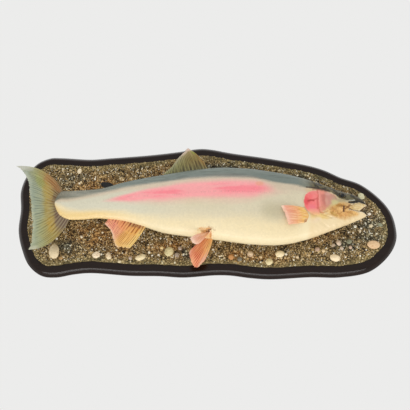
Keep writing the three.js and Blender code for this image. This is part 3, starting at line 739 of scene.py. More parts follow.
def jaw_corner_paint(p, base, fine):
    """The stained, cracked corner of the jaw under the eye, and the pale lip before it."""
    patch = p.between(JAW_PATCH_LOW, JAW_PATCH_HIGH, 4.0)
    mottled = p.mix(smoothstep(0.36, 0.64, p.noise(4, 5, stretch=1.6)), (214, 154, 82), (244, 194, 120))
    base = p.mix(patch * 0.95, base, mottled)
    base = p.dabs(base, [
        (263, -10, 9, 3.6, 0, (182, 132, 56), 0.85), (275, -5.5, 6, 3, 0, (214, 176, 122), 0.7),
        (253, -14, 6, 4, -20, (216, 164, 88), 0.7), (262, -21, 8, 4.5, 10, (242, 188, 118), 0.75),
        (256, -24.5, 5, 2.6, -20, (204, 156, 84), 0.6), (262, -28.5, 7, 3, 0, (208, 148, 78), 0.6),
        (271, -28, 6, 3.4, 0, (236, 176, 110), 0.7), (279, -22.5, 4.5, 2, 6, (194, 142, 76), 0.7),
        (284, -26, 7, 3.4, 8, (222, 180, 112), 0.6), (273, -24.5, 4, 2.6, 0, (240, 182, 112), 0.6),
        (277, -18, 4, 2.4, 0, (222, 180, 120), 0.6), (247, -28, 5, 3.4, -30, (206, 164, 88), 0.7),
        (272, -33.5, 12, 2.6, 0, (222, 184, 132), 0.5), (283, -10.5, 3.4, 3, 30, (206, 166, 104), 0.6)])
    cracks = smoothstep(0.035, 0.0, np.abs(p.noise(7, 6) - 0.5))
    base = p.mix(cracks * patch * 0.5, base, (146, 90, 36))
    base = p.strokes(base, [
        ([(240, -20), (247, -18.5), (254, -19.5)], 1.8, (196, 150, 88), 0.6),
        ([(241, -26), (247, -29.5), (255, -31.5)], 2.2, (190, 146, 70), 0.75),
        ([(255, -10), (262, -10.5), (268, -12)], 3.2, (184, 128, 54), 0.75),
        ([(259, -16), (264, -17.5), (268, -21)], 1.8, (252, 206, 142), 0.6),
        ([(266, -22), (259, -27), (252, -29)], 1.4, (186, 124, 58), 0.6),
        ([(270, -21), (277, -24), (286, -24)], 1.6, (184, 122, 58), 0.6),
        ([(270, -22), (272, -28), (272, -33)], 1.3, (198, 138, 72), 0.5),
        ([(272, -15.5), (276, -13), (281, -8)], 3.6, (132, 80, 24), 0.9),
        ([(264, -11), (269, -10.5), (274, -11.5)], 2.6, (150, 96, 30), 0.7),
        ([(269, -12), (268.2, -17), (268, -21.5)], 3.6, (84, 40, 8), 0.97),
        ([(278, -14.2), (284, -15.6), (291, -17.4), (299, -18.4)], 1.8, (112, 80, 30), 0.8)])
    lip = p.between(LIP_LOW, LIP_HIGH, 0.9)
    base = p.mix(lip, base, p.mix(smoothstep(0.35, 0.65, fine), (222, 190, 126), (246, 220, 168)))
    base = p.dabs(base, [
        (285, -10.5, 4, 3.6, 20, (206, 166, 104), 0.7), (302, -7.5, 7, 3, 0, (250, 224, 172), 0.7)])
    return p.strokes(base, [
        ([(284, -14), (290, -10.5), (297, -9), (304, -10)], 1.5, (206, 170, 104), 0.6),
        ([(290, -7), (297, -5.2), (305, -5)], 1.2, (214, 182, 118), 0.5),
        ([(280, -11), (285, -7.4), (290, -5)], 1.6, (150, 112, 56), 0.75)])


# ---- the fish -------------------------------------------------------------------------

HEAD_STEP = 0.66
BODY_STEP = 2.8
NEAR_POINTS, FAR_POINTS = 140, 96


def skin_columns():
    body = np.linspace(TAIL_X + 0.6, GILL_X - 6, int((GILL_X - 6 - TAIL_X) / BODY_STEP))
    head = np.linspace(GILL_X - 6, SNOUT_X - 1.4, int((SNOUT_X - GILL_X + 6) / HEAD_STEP))
    return np.concatenate([body, head[1:]])


def skin_angles():
    """Angles round a section, closer together on the flank that faces the room."""
    near = np.linspace(math.pi / 2, 3 * math.pi / 2, NEAR_POINTS, endpoint=False)
    far = np.linspace(3 * math.pi / 2, 5 * math.pi / 2, FAR_POINTS, endpoint=False)
    return np.concatenate([near, far])


GILL_OPENING = [
    (194, 26), (190, 6), (187.5, -8), (191, -20), (203, -33), (224, -47), (240, -56), (256, -58)]
PREOPERCLE = [(219, 19), (218, -3), (218.5, -17), (221, -27), (231, -33), (244, -35)]
MAXILLA = [(303, -9), (290, -9.5), (276, -12), (262, -17), (252, -21)]
UPPER_LIP = [(279, -15.5), (300, -16.6), (305.5, -12.2), (311, -7.2), (315, -4)]
LOWER_LIP = [(279, -18.6), (300, -20.2), (306, -20.8), (313, -23.8)]
JAW_LINE = [(278.5, -18.5), (269, -28), (257, -32.5), (240, -36.5)]
BROW_CREASE = [(280, -2), (287, -1.6), (293, 0.4), (299, 2.2), (305, 2.2), (312, -0.4)]


def head_relief(x, z):
    """How far the head's surface stands out from a plain section, in millimetres."""
    out = np.zeros(np.shape(x))
    radius = np.hypot(x - GILL_CENTRE[0], z - GILL_CENTRE[1])
    cover = smoothstep(GILL_RADIUS + 0.5, GILL_RADIUS - 0.9, radius)
    cover = cover * smoothstep(PREOPERCLE_X + 1, PREOPERCLE_X - 1, x)
    out += cover * (0.75 + 0.5 * bump(radius - GILL_RADIUS + 6, 7))
    opening, _ = segment_distance(x, z, GILL_OPENING)
    behind = np.where(x < 214, radius - GILL_RADIUS, opening)
    deep = 0.25 + 0.65 * smoothstep(-44, -30, z)
    out -= deep * bump(behind - 1.2, 1.5) * smoothstep(44, 20, z) * smoothstep(-62, -50, z) * (x < 262)
    plate, _ = segment_distance(x, z, PREOPERCLE)
    out -= 0.75 * bump(plate, 1.3)
    out += 0.35 * bump(plate - 4, 2.5) * (x > 216)
    for k in range(4):
        fold = [(px + 3.5 + 4.6 * k, pz - 1.5 - 2.2 * k) for px, pz in GILL_OPENING[4:]]
        distance, t = segment_distance(x, z, fold)
        out -= 0.16 * bump(distance, 0.8) * smoothstep(0, 0.15, t) * smoothstep(-33, -38, z)
    jaw_bone, t = segment_distance(x, z, MAXILLA)
    half_width = 2.6 + 1.9 * t
    out += 0.85 * smoothstep(half_width + 0.7, half_width - 0.8, jaw_bone)
    out -= 0.35 * bump(jaw_bone - half_width - 0.6, 0.8)
    for line, width in ((UPPER_LIP, 1.7), (LOWER_LIP, 1.5)):
        lip, _ = segment_distance(x, z, line)
        out += 0.5 * bump(lip - 1.1, width)
        out -= 0.55 * bump(lip, 0.8)
    jaw, _ = segment_distance(x, z, JAW_LINE)
    out -= 0.55 * bump(jaw, 1.2)
    crease, _ = segment_distance(x, z, BROW_CREASE)
    out -= 0.7 * bump(crease, 1.1)
    out += 0.4 * bump(crease - 2.6, 1.6) * (z < 3)
    eye = np.hypot(x - EYE["x"], (z - EYE["z"]) * 1.05)
    out += 0.75 * bump(eye - 8.0, 1.5) - 1.0 * smoothstep(6.9, 5.6, eye)
    nostril = np.hypot(x - 291, z - 11.5)
    out -= 1.3 * bump(nostril, 1.0)
    out += 0.35 * bump(nostril - 2.0, 0.8)
    out += 0.22 * wave_noise(x, z, 9, 3) * smoothstep(196, 214, x)
    return out


def surface_normals(points):
    """Outward normals of a closed grid of points: rows run tail to snout."""
    lengthwise = np.gradient(points, axis=0)
    around = np.roll(points, -1, axis=1) - np.roll(points, 1, axis=1)
    normal = np.cross(lengthwise, around)
    normal /= np.linalg.norm(normal, axis=-1, keepdims=True) + 1e-9
    centre = points.mean(axis=1, keepdims=True)
    side = np.sign(((points - centre) * normal).sum(-1).mean())
    return normal * side


def fish_skin(material, lining):
    columns, angles = skin_columns(), skin_angles()
    x, angle = np.meshgrid(columns, angles, indexing="ij")
    lift = -COAT + (COAT - 0.15) * smoothstep(GILL_X - 4, GILL_X + 12, x)
    points = body_point(x, angle, lift)
    normals = surface_normals(points)
    in_head = smoothstep(GILL_X - 5, GILL_X + 1, x)
    away_from_ridge = smoothstep(0.0, 0.25, np.abs(np.cos(angle)))
    points += normals * (head_relief(x, points[..., 2]) * in_head * away_from_ridge)[..., None]
    points = np.concatenate([rounded_end(points[0], -1.2)[::-1], points, rounded_end(points[-1], 1.5)])
    rows, count = points.shape[:2]
    flat = points.reshape(-1, 3)
    bottom = along(BOTTOM, flat[:, 0])
    height = np.clip((flat[:, 2] - bottom) / (along(TOP, flat[:, 0]) - bottom), 0, 1)
    u = np.repeat((np.arange(rows) + 0.5) / rows, count)
    v = np.tile((np.arange(count) + 0.5) / count, rows)
    uv = np.stack([np.append(u, [0.001, 0.999]), np.append(v, [0.5, 0.5])], -1)
    tips = [points[0].mean(axis=0), points[-1].mean(axis=0)]
    flat = np.vstack([flat, tips])
    height = np.append(height, [0.5, 0.5])
    tail, ring = len(flat) - 2, np.arange(count)
    snout, last_ring = tail + 1, (rows - 1) * count + ring
    faces = [grid_faces(rows, count, closed=True), fan(tail, ring), fan(snout, last_ring, flip=True)]
    marks = painted_marks(*flat.T)
    skin = make_piece("skin", flat, [group[:, ::-1] for group in faces], material, uv=uv,
                      height=height, tone=0.5, marks=marks, cover=marks[:, 3])
    make_outward(skin)
    cut_away(skin, prism("mouth_wedge", MOUTH_CLEFT, -90, -10, lining))
    return settle(skin, "fish_skin", "head", "lower_jaw", "gill_cover_right", "gill_cover_left",
                  "trunk_front", "trunk_rear", "tail_stalk")


def rounded_end(base, reach):
    """Shrinking rings that round off an end of the fish, reach millimetres beyond it."""
    middle = base.mean(axis=0)
    rings = []
    for turn in (0.35, 0.65, 0.9, 1.15, 1.4):
        ring = middle + (base - middle) * math.cos(turn)
        ring[:, 0] += reach * math.sin(turn)
        rings.append(ring)
    return np.array(rings)


# ---- scales ---------------------------------------------------------------------------

SCALE_PITCH = 3.5
LEAST_SCALE = 2.3
SECTION_STEPS = 721              # points round a section when its girth is measured
SCALE_SPLIT = -10.0               # the scales are joined in two pieces, before and behind this x
SCALE_RIM = [
    (0.34, -0.42), (0.72, -0.36), (0.96, -0.18), (1.0, 0.0), (0.96, 0.18), (0.72, 0.36), (0.34, 0.42)]


def body_normal(x, angle):
    """The outward normal of the plain body at x and angle."""
    step = 0.4
    lengthwise = body_point(x + step, angle) - body_point(x - step, angle)
    around = body_point(x, angle + 0.01) - body_point(x, angle - 0.01)
    normal = np.cross(around, lengthwise)
    normal /= np.linalg.norm(normal, axis=-1, keepdims=True) + 1e-9
    centre = np.stack([x, along(MIDDLE, x), (along(TOP, x) + along(BOTTOM, x)) / 2], -1)
    outward = body_point(x, angle) - centre
    return normal * np.sign((normal * outward).sum(-1, keepdims=True))


def scale_roots():
    """Where each scale is rooted, x and angle, and how large it is: staggered rows from the
    gill to the tail."""
    rows = []
    x = GILL_X + 3
    fine_angle = np.linspace(0, 2 * math.pi, SECTION_STEPS)
    while x > TAIL_X + 4:
        size = SCALE_PITCH * float(smoothstep(-330, -150, np.array(x))) + 0.6
        size = min(max(size, LEAST_SCALE), SCALE_PITCH)
        lengths = lengths_along(body_point(np.full(SECTION_STEPS, x), fine_angle))
        count = max(int(lengths[-1] / (size * 0.93)), 12)
        steps = np.arange(count) + 0.5 * (len(rows) % 2) + RNG.uniform(-0.06, 0.06, count)
        places = steps / count * lengths[-1]
        angle = np.interp(places % lengths[-1], lengths, fine_angle)
        rows.append((x + RNG.uniform(-0.12, 0.12, count) * size, angle, np.full(count, size)))
        x -= size
    x, angle, size = (np.concatenate(part) for part in zip(*rows))
    clear = off_the_gill(*body_point(x, angle).T)
    return x[clear], angle[clear], size[clear]


def off_the_gill(x, y, z):
    """Which points lie behind the gill opening, and not where the fish rests on the bed."""
    edge = np.hypot(x - GILL_CENTRE[0], z - GILL_CENTRE[1])
    opening, _ = segment_distance(x, z, GILL_OPENING)
    clear = (x < 188) | ((z > 26) & (x < 198)) | ((z < -22) & (x < 196))
    clear &= (edge > GILL_RADIUS + 2) & (opening > 2.5) | (x < 186)
    return clear & (y < BED_Y - 1.0)


def scale_corners(root, normal, back, side, size, x):
    """Each scale's points: its root, its rim, and a middle point above and below."""
    length, width = (size * 1.5)[:, None], (size * 1.22)[:, None]
    rise = 0.13 * smoothstep(GILL_X + 6, GILL_X - 24, x) + 0.02
    rise = (rise + RNG.uniform(-0.02, 0.02, len(x)))[:, None]
    corners = [root - normal * 0.25]
    for run, across in SCALE_RIM:
        lift = -0.04 + rise * run
        corners.append(root + back * length * run + side * width * across + normal * lift)
    middle = root + back * length * 0.55 + normal * (rise * 0.55 + 0.05)
    under = root + back * length * 0.55 - normal * 0.45
    return np.stack(corners + [middle, under], 1)


def scales(material, columns, angles):
    """The overlapping scales, joined in two pieces. They share the skin's map and its marks."""
    x, angle, size = scale_roots()
    root = body_point(x, angle, -COAT)
    normal = body_normal(x, angle)
    back = body_point(x - 0.8, angle, -COAT) - root
    back /= np.linalg.norm(back, axis=-1, keepdims=True)
    side = np.cross(normal, back)
    tilt = RNG.uniform(-0.05, 0.05, len(x))[:, None]
    back, side = back + side * tilt, side - back * tilt
    corners = scale_corners(root, normal, back, side, size, x)
    each = corners.shape[1]
    ring = np.arange(each - 2)
    pattern = np.vstack([fan(each - 2, ring, flip=True), fan(each - 1, ring)])
    bottom = along(BOTTOM, root[:, 0])
    height = np.clip((root[:, 2] - bottom) / (along(TOP, root[:, 0]) - bottom), 0, 1)
    u = np.interp(x, columns, (np.arange(len(columns)) + 5.5) / (len(columns) + 10))
    turned = np.where(angle < math.pi / 2, angle + 2 * math.pi, angle)
    v = np.interp(turned, angles, (np.arange(len(angles)) + 0.5) / len(angles))
    place, axes = np.stack([u, v], -1), np.stack([back, side], -1)
    tone = RNG.uniform(0, 1, len(x))
    marks = painted_marks(*root.T)
    for name, nodes, part in (("scales_front", ("trunk_front",), x >= SCALE_SPLIT),
                              ("scales_rear", ("trunk_rear", "tail_stalk"), x < SCALE_SPLIT)):
        faces = (pattern + (np.arange(part.sum()) * each)[:, None, None]).reshape(-1, 3)
        owner = np.repeat(np.flatnonzero(part), each)
        points = corners[part].reshape(-1, 3)
        local = ((points - root[owner])[:, :, None] * axes[owner]).sum(1) / size[owner, None]
        uv = np.clip(place[owner] + local * 0.001, 0, 1)
        piece = make_piece(name, points, [faces], material, uv=uv, height=height[owner],
                           tone=tone[owner], marks=marks[owner], cover=marks[owner, 3])
        sharpen(piece)
        settle(piece, "fish_skin", *nodes)


# ---- fins -----------------------------------------------------------------------------


def curve(points, t, closed=False):
    """A centripetal Catmull-Rom curve through points, at parameters t from 0 to 1."""
    points = np.asarray(points, float)
    if closed:
        spans = len(points)
        padded = np.vstack([points[-1:], points, points[:2]])
    else:
        spans = len(points) - 1
        padded = np.vstack([2 * points[0] - points[1], points, 2 * points[-1] - points[-2]])
    position = np.clip(t, 0, 1) * spans
    i = np.minimum(position.astype(int), spans - 1)
    w = (position - i)[..., None]
    p0, p1, p2, p3 = (padded[i + k] for k in range(4))
    d0, d1, d2 = (np.maximum(np.linalg.norm(b - a, axis=-1, keepdims=True), 1e-8) ** 0.5
                  for a, b in ((p0, p1), (p1, p2), (p2, p3)))
    m1 = ((p1 - p0) / d0 - (p2 - p0) / (d0 + d1) + (p2 - p1) / d1) * d1
    m2 = ((p2 - p1) / d1 - (p3 - p1) / (d1 + d2) + (p3 - p2) / d2) * d1
    return p1 + m1 * w + (3 * (p2 - p1) - 2 * m1 - m2) * w ** 2 + (2 * (p1 - p2) + m1 + m2) * w ** 3


def in_space(points):
    """Side-view points get the tail fin's depth, which grows a little towards its margin."""
    return [(p[0], -62 - 0.1 * (-290 - p[0]), p[1]) if len(p) == 2 else p for p in points]


def tail_bow(u):
    reach = (2 * u - 1) ** 2
    return np.stack([13 * reach, 0 * u, np.where(u < 0.5, 35, -31) * reach], -1)


def bow_of(x=(0, 0), y=(0, 0), z=(0, 0), lead=(0, 0, 0)):
    """How far a fin's rays are bent at mid length: each axis goes evenly from the front ray to
    the last, and lead bends the first rays more."""
    ends = tuple(zip((x, y, z), lead))

    def bow(u):
        return np.stack([a + (b - a) * u + more * (1 - u) ** 2 for (a, b), more in ends], -1)

    return bow


# Each fin: its root line and tip line from the front ray to the last, how its rays bend,
# which way it is thick, its thickness at root and tip, how many rays it has, how far its
# margin is frayed, and how far it waves.
USUAL_FIN = {"across": (0, 1, 0), "thick": (4, 0.8)}
FINS = {
    "caudal_fin": dict(
        root=[(-280, 19), (-287, 10), (-289, -6), (-284, -20), (-266, -32)],
        tip=[(-378, 73), (-364, 61), (-353, 42), (-348, 18), (-342, -18), (-338, -50), (-338, -84),
             (-342, -99)],
        bow=tail_bow, thick=(5, 0.8), rays=19, fray=0.035, wave=0.8),
    "dorsal_fin": dict(
        root=[(4, -54, 70), (-40, -54, 64), (-84, -54, 57)],
        tip=[(-30, -55, 114), (-38, -55, 119), (-45, -55, 111), (-57, -54.5, 97), (-69, -54, 80),
             (-85, -54, 64)],
        bow=bow_of(z=(3, 0), lead=(6, 0, 4)), rays=12, fray=0.05, wave=0.7),
    "adipose_fin": dict(
        root=[(-183, -54, 37), (-190, -54, 33), (-197, -54, 30)],
        tip=[(-198, -54, 45.5), (-210, -54, 43.5), (-209, -54, 37)], bow=bow_of(x=(3, 0), z=(2.5, 0)),
        thick=(4, 1.6), rays=0, fray=0, wave=0),
    "anal_fin": dict(
        root=[(-117, -53, -44), (-153, -53, -34), (-189, -54, -28)],
        tip=[(-149, -54, -93), (-174, -54, -90), (-181, -54, -76), (-186, -54, -58), (-199, -54, -42)],
        bow=bow_of(lead=(5, 0, 0)), rays=12, fray=0.05, wave=0.8),
    "pelvic_fin_right": dict(
        root=[(10, -71, -62), (6, -69, -64.5), (-1, -67, -65.5)],
        tip=[(-16, -77, -91.5), (-23.5, -79, -91), (-28.6, -80, -87), (-31.5, -80, -80.5)],
        bow=bow_of(y=(-2, -2), z=(-4, 6)), across=(0, -0.85, 0.52), rays=8, fray=0.04, wave=0.5),
    "pelvic_fin_left": dict(
        root=[(14, -52, -66), (7, -50, -65), (0, -48, -64)],
        tip=[(-4, -56, -119), (-20.5, -57, -133.5), (-31, -57, -115), (-33, -56, -101),
             (-20, -54, -84.5)],
        bow=bow_of(x=(5, 0), y=(-1, -1)), rays=10, fray=0.03, wave=0.6),
    "pectoral_fin_right": dict(
        root=[(188, -82.9, -19), (197.5, -79.5, -35), (192.5, -77.7, -47.5)],
        tip=[(143.5, -93, -18.4), (146, -93, -25), (149, -93, -31.5), (153.3, -92, -45.5),
             (156.5, -90, -56)],
        bow=bow_of(y=(-3, -3), z=(3, -1)), across=(0.18, -1, 0.25), rays=11, fray=0.035, wave=0.3),
    "pectoral_fin_left": dict(
        root=[(196, -32, -48), (193, -33, -54), (189, -34, -59)],
        tip=[(140, -25.5, -58), (138, -26.5, -66), (146, -28, -74), (162, -32, -77)], bow=bow_of(),
        across=(0, 1, 0.35), thick=(3, 0.8), rays=12, fray=0.03, wave=0.2),
}


def ray_profile(u, v, rays):
    """1 on a ray and 0 on the web between rays; each ray forks twice on its way to the margin."""
    waves = [0.5 - 0.5 * np.cos(2 * math.pi * rays * fork * u) for fork in (1, 2, 4)]
    first, second = smoothstep(0.38, 0.52, v), smoothstep(0.84, 0.96, v)
    profile = waves[0] * (1 - first) + waves[1] * first
    return profile * (1 - second) + waves[2] * second


COLUMNS_PER_RAY = 18
TEARS_PER_RAY = 4


def frayed_margin(u, rays, fray):
    """How far each line of a fin reaches: a full reach of 1, less its tears and notches."""
    if not rays:
        return np.ones_like(u)
    tears = rays * TEARS_PER_RAY
    depths = RNG.uniform(0, 1, tears + 1) ** 2.5
    torn = np.interp(u[:, 0] * tears, np.arange(tears + 1), depths)[:, None]
    notches = 0.5 + 0.5 * np.cos(2 * math.pi * tears * u)
    return 1 - fray * (1.1 * torn + 0.3 * notches)


def fin(name, material):
    """A fin with a front, a back and a closed edge; u runs across it and t from root to tip."""
    shape = {**USUAL_FIN, **FINS[name]}
    rays = shape["rays"]
    columns = max(rays * COLUMNS_PER_RAY, 40) + 1
    rows = 44 if name == "caudal_fin" else 30
    u, v = np.linspace(0, 1, columns)[:, None], np.linspace(0, 1, rows)[None, :]
    t = v * frayed_margin(u, rays, shape["fray"])
    start, end = (curve(in_space(shape[line]), u[:, 0])[:, None] for line in ("root", "tip"))
    middle = (start + end) / 2 + shape["bow"](u[:, 0])[:, None]
    t3 = t[..., None]
    sheet = (1 - t3) ** 2 * start + 2 * t3 * (1 - t3) * middle + t3 ** 2 * end
    across = np.array(shape["across"], float)
    across /= np.linalg.norm(across)
    sway = shape["wave"] * np.sin(5.5 * u + 2.0 * v + 1) * v ** 1.2
    sheet = sheet + across * sway[..., None]
    root_half, tip_half = shape["thick"][0] / 2, shape["thick"][1] / 2
    half = root_half + (tip_half - root_half) * t ** 0.7
    ray = ray_profile(u, t, rays) if rays else np.ones_like(t)
    strength = 0.5 * smoothstep(0.0, 0.2, t)
    sides = np.minimum(smoothstep(-0.01, 0.03, u), smoothstep(1.01, 0.97, u))
    rim = sides * smoothstep(1.02, 0.9, v)
    half = (half * (1 - strength + strength * ray)) * (0.25 + 0.75 * rim)
    offsets = across * half[..., None]
    points = np.concatenate([(sheet + offsets).reshape(-1, 3), (sheet - offsets).reshape(-1, 3)])
    quads = grid_faces(columns, rows)
    count = columns * rows
    loop = rim_loop(columns, rows)
    after = np.roll(loop, -1)
    edge = np.stack([loop, after, after + count, loop + count], -1)
    uu, tt = np.broadcast_to(u, t.shape).ravel(), t.ravel()
    uv = np.concatenate([np.stack([start + tt * 0.49, uu], -1) for start in (0, 0.51)])
    piece = make_piece(name + "_skin", points, [quads[:, ::-1], quads + count, edge], material, uv=uv,
                       across=np.tile(uu, 2), along=np.tile(tt, 2), ray=np.tile(ray.ravel(), 2))
    make_outward(piece)
    return settle(piece, "fish_fin", name)


def rim_loop(columns, rows):
    """The points round the border of a grid, in order."""
    last = (columns - 1) * rows
    return np.concatenate([np.arange(rows), np.arange(1, columns) * rows + rows - 1,
                           last + np.arange(rows - 2, -1, -1), np.arange(columns - 2, 0, -1) * rows])


# Fin colours. front and rear run from the root to the margin along the first ray and the last.
# rays holds the rays' colour, its strength and the height on the ray where it starts; web
# holds the web's colour and strength; marks are soft spots: place across and along the fin,
# half width, half length, colour and strength.
FIN_PAINT = {
    "caudal_fin": dict(
        front=[(0.0, (82, 46, 16)), (0.14, (122, 74, 28)), (0.34, (154, 112, 48)),
               (0.52, (162, 144, 70)), (0.7, (150, 152, 100)), (0.86, (144, 154, 132)),
               (1.0, (178, 186, 172))],
        rear=[(0.0, (86, 58, 48)), (0.18, (108, 80, 54)), (0.34, (152, 122, 52)),
              (0.52, (160, 142, 72)), (0.7, (154, 154, 104)), (0.88, (150, 160, 132)),
              (1.0, (184, 190, 164))],
        rays=((84, 72, 40), 0.55, 0.6), web=((190, 186, 140), 0.2),
        marks=[(0.47, 0.74, 0.22, 0.2, (138, 154, 142), 0.65),
               (0.45, 0.13, 0.55, 0.11, (104, 70, 34), 0.75),
               (0.1, 0.3, 0.12, 0.24, (160, 98, 38), 0.75),
               (0.3, 0.4, 0.16, 0.18, (176, 150, 64), 0.55),
               (0.6, 0.32, 0.14, 0.14, (176, 160, 92), 0.45),
               (0.87, 0.12, 0.2, 0.2, (110, 80, 74), 0.75), (0.8, 0.4, 0.1, 0.12, (184, 148, 48), 0.6),
               (0.22, 0.62, 0.1, 0.12, (150, 160, 84), 0.5),
               (0.02, 1.0, 0.08, 0.3, (204, 204, 194), 0.8),
               (0.99, 0.95, 0.06, 0.14, (208, 204, 180), 0.6)]),
    "dorsal_fin": dict(
        front=[(0.0, (70, 56, 26)), (0.3, (112, 86, 38)), (0.6, (136, 112, 52)), (0.82, (164, 138, 90)),
               (1.0, (232, 208, 196))],
        rear=[(0.0, (78, 80, 48)), (0.5, (114, 114, 70)), (1.0, (156, 154, 118))],
        rays=((58, 54, 24), 0.75, 0.62), web=((170, 164, 104), 0.25),
        marks=[(0.08, 0.84, 0.1, 0.13, (152, 174, 56), 0.75),
               (0.2, 0.98, 0.26, 0.12, (240, 208, 196), 0.9),
               (0.03, 0.5, 0.06, 0.4, (164, 116, 50), 0.7), (0.5, 0.1, 0.5, 0.16, (80, 72, 40), 0.6)]),
    "adipose_fin": dict(
        front=[(0.0, (40, 40, 34)), (0.25, (14, 13, 12)), (1.0, (8, 7, 6))],
        rear=[(0.0, (36, 37, 32)), (0.25, (14, 13, 12)), (1.0, (9, 8, 7))],
        rays=((14, 13, 12), 0.0, 0.55), web=((40, 42, 36), 0.0), marks=[]),
    "anal_fin": dict(
        front=[(0.0, (176, 96, 28)), (0.25, (216, 142, 50)), (0.7, (226, 170, 84)),
               (1.0, (228, 190, 122))],
        rear=[(0.0, (190, 112, 58)), (0.3, (218, 128, 96)), (0.8, (236, 156, 138)),
              (1.0, (242, 204, 186))],
        rays=((128, 52, 18), 1.0, 0.74), web=((250, 204, 134), 0.3),
        marks=[(0.36, 0.13, 0.42, 0.09, (112, 44, 14), 0.75),
               (0.72, 0.5, 0.3, 0.5, (236, 140, 122), 0.7), (0.55, 0.3, 0.2, 0.2, (228, 132, 66), 0.6),
               (0.02, 0.6, 0.08, 0.5, (234, 204, 116), 0.7), (0.3, 0.7, 0.14, 0.3, (226, 166, 74), 0.6),
               (0.5, 1.0, 0.5, 0.05, (250, 222, 192), 0.75)]),
    "pelvic_fin_right": dict(
        front=[(0.0, (222, 160, 74)), (0.35, (230, 156, 88)), (0.65, (234, 164, 120)),
               (1.0, (246, 202, 176))],
        rear=[(0.0, (214, 146, 70)), (0.35, (228, 158, 104)), (0.65, (232, 168, 140)),
              (1.0, (240, 202, 182))],
        rays=((196, 118, 84), 0.7, 0.6), web=((255, 216, 188), 0.45),
        marks=[(0.5, 0.06, 0.5, 0.12, (186, 112, 42), 0.9), (0.5, 0.26, 0.5, 0.14, (226, 164, 88), 0.7),
               (0.6, 0.98, 0.5, 0.12, (252, 226, 206), 0.6)]),
    "pelvic_fin_left": dict(
        front=[(0.0, (240, 206, 116)), (0.35, (240, 180, 92)), (0.7, (228, 122, 80)),
               (1.0, (234, 140, 112))],
        rear=[(0.0, (232, 160, 108)), (0.4, (224, 122, 86)), (0.8, (228, 128, 102)),
              (1.0, (246, 204, 184))],
        rays=((170, 64, 34), 0.95, 0.6), web=((255, 190, 134), 0.45),
        marks=[(0.0, 0.35, 0.22, 0.4, (246, 212, 126), 0.8),
               (0.55, 0.55, 0.25, 0.3, (228, 132, 70), 0.7),
               (0.8, 0.65, 0.16, 0.3, (214, 112, 92), 0.6), (0.4, 0.86, 0.3, 0.16, (222, 98, 62), 0.6),
               (0.98, 0.6, 0.06, 0.5, (248, 218, 196), 0.85),
               (0.12, 0.85, 0.1, 0.3, (246, 214, 190), 0.7)]),
    "pectoral_fin_right": dict(
        front=[(0.0, (248, 206, 112)), (0.22, (242, 188, 92)), (0.5, (244, 164, 118)),
               (0.85, (246, 164, 148)), (1.0, (252, 206, 190))],
        rear=[(0.0, (226, 160, 70)), (0.2, (240, 190, 88)), (0.5, (244, 174, 120)),
              (0.85, (248, 180, 158)), (1.0, (250, 206, 188))],
        rays=((204, 104, 60), 0.85, 0.66), web=((255, 218, 172), 0.4),
        marks=[(0.9, 0.07, 0.2, 0.08, (116, 62, 6), 0.9), (0.35, 0.14, 0.5, 0.16, (238, 190, 66), 0.7),
               (0.05, 0.98, 0.2, 0.1, (255, 226, 210), 0.8)]),
    "pectoral_fin_left": dict(
        front=[(0.0, (226, 176, 90)), (0.5, (232, 168, 120)), (1.0, (240, 186, 160))],
        rear=[(0.0, (216, 150, 70)), (0.5, (232, 168, 128)), (1.0, (240, 190, 168))],
        rays=((206, 120, 90), 0.4, 0.55), web=((246, 200, 168), 0.3), marks=[]),
}


def fin_paint(name):
    """A fin's paint: two ramps from root to margin, soft marks, pale webs and darker rays."""
    colours = FIN_PAINT[name]
    gloss = 0.0 if name == "adipose_fin" else 0.2
    p = Paint(name + "_paint", Coat_Weight=gloss, Coat_Roughness=0.3, Roughness=0.5,
              Specular_IOR_Level=0.3)
    across, length, ray = p.attribute("across"), p.attribute("along"), p.attribute("ray")
    drift = length + (p.noise(14, detail=4) - 0.5) * 0.22
    ramps = [p.ramp(drift, colours[side]) for side in ("front", "rear")]
    base = p.mix(p.smooth(across, 0.15, 0.85), *ramps)
    for middle_u, middle_v, half_u, half_v, tint, strength in colours["marks"]:
        du = (across - middle_u) / half_u
        dv = (drift - middle_v) / half_v
        reach = p.math("SQRT", du * du + dv * dv)
        base = p.mix(p.smooth(reach, 1.4, 0.5) * strength, base, tint)
    threads = p.vector(across * (2.6 * max(FINS[name]["rays"], 1)), length * 2.4, 0.0)
    streaks = p.noise(1.0, detail=4, where=threads)
    broken = p.smooth(streaks, 0.34, 0.6) * (0.55 + p.noise(7, detail=3) * 0.9)
    light = p.smooth(ray, 0.5, 0.1) + p.smooth(streaks, 0.56, 0.4)
    web, web_strength = colours["web"]
    base = p.mix(p.math("MINIMUM", light * web_strength, 0.9), base, web)
    dark, ray_strength, ray_from = colours["rays"]
    line = p.smooth(ray, ray_from, 0.97) * ray_strength
    base = p.mix(p.math("MINIMUM", line * broken, 1.0), base, dark)
    joints = p.math("SINE", length * 260)
    p.relief(joints * ray * 0.3 + p.noise(0.8, detail=2) * 0.6, 0.35, 0.0003)
    return p.finish(base, 0.36 + p.noise(6) * 0.2)


# ---- eyes -----------------------------------------------------------------------------


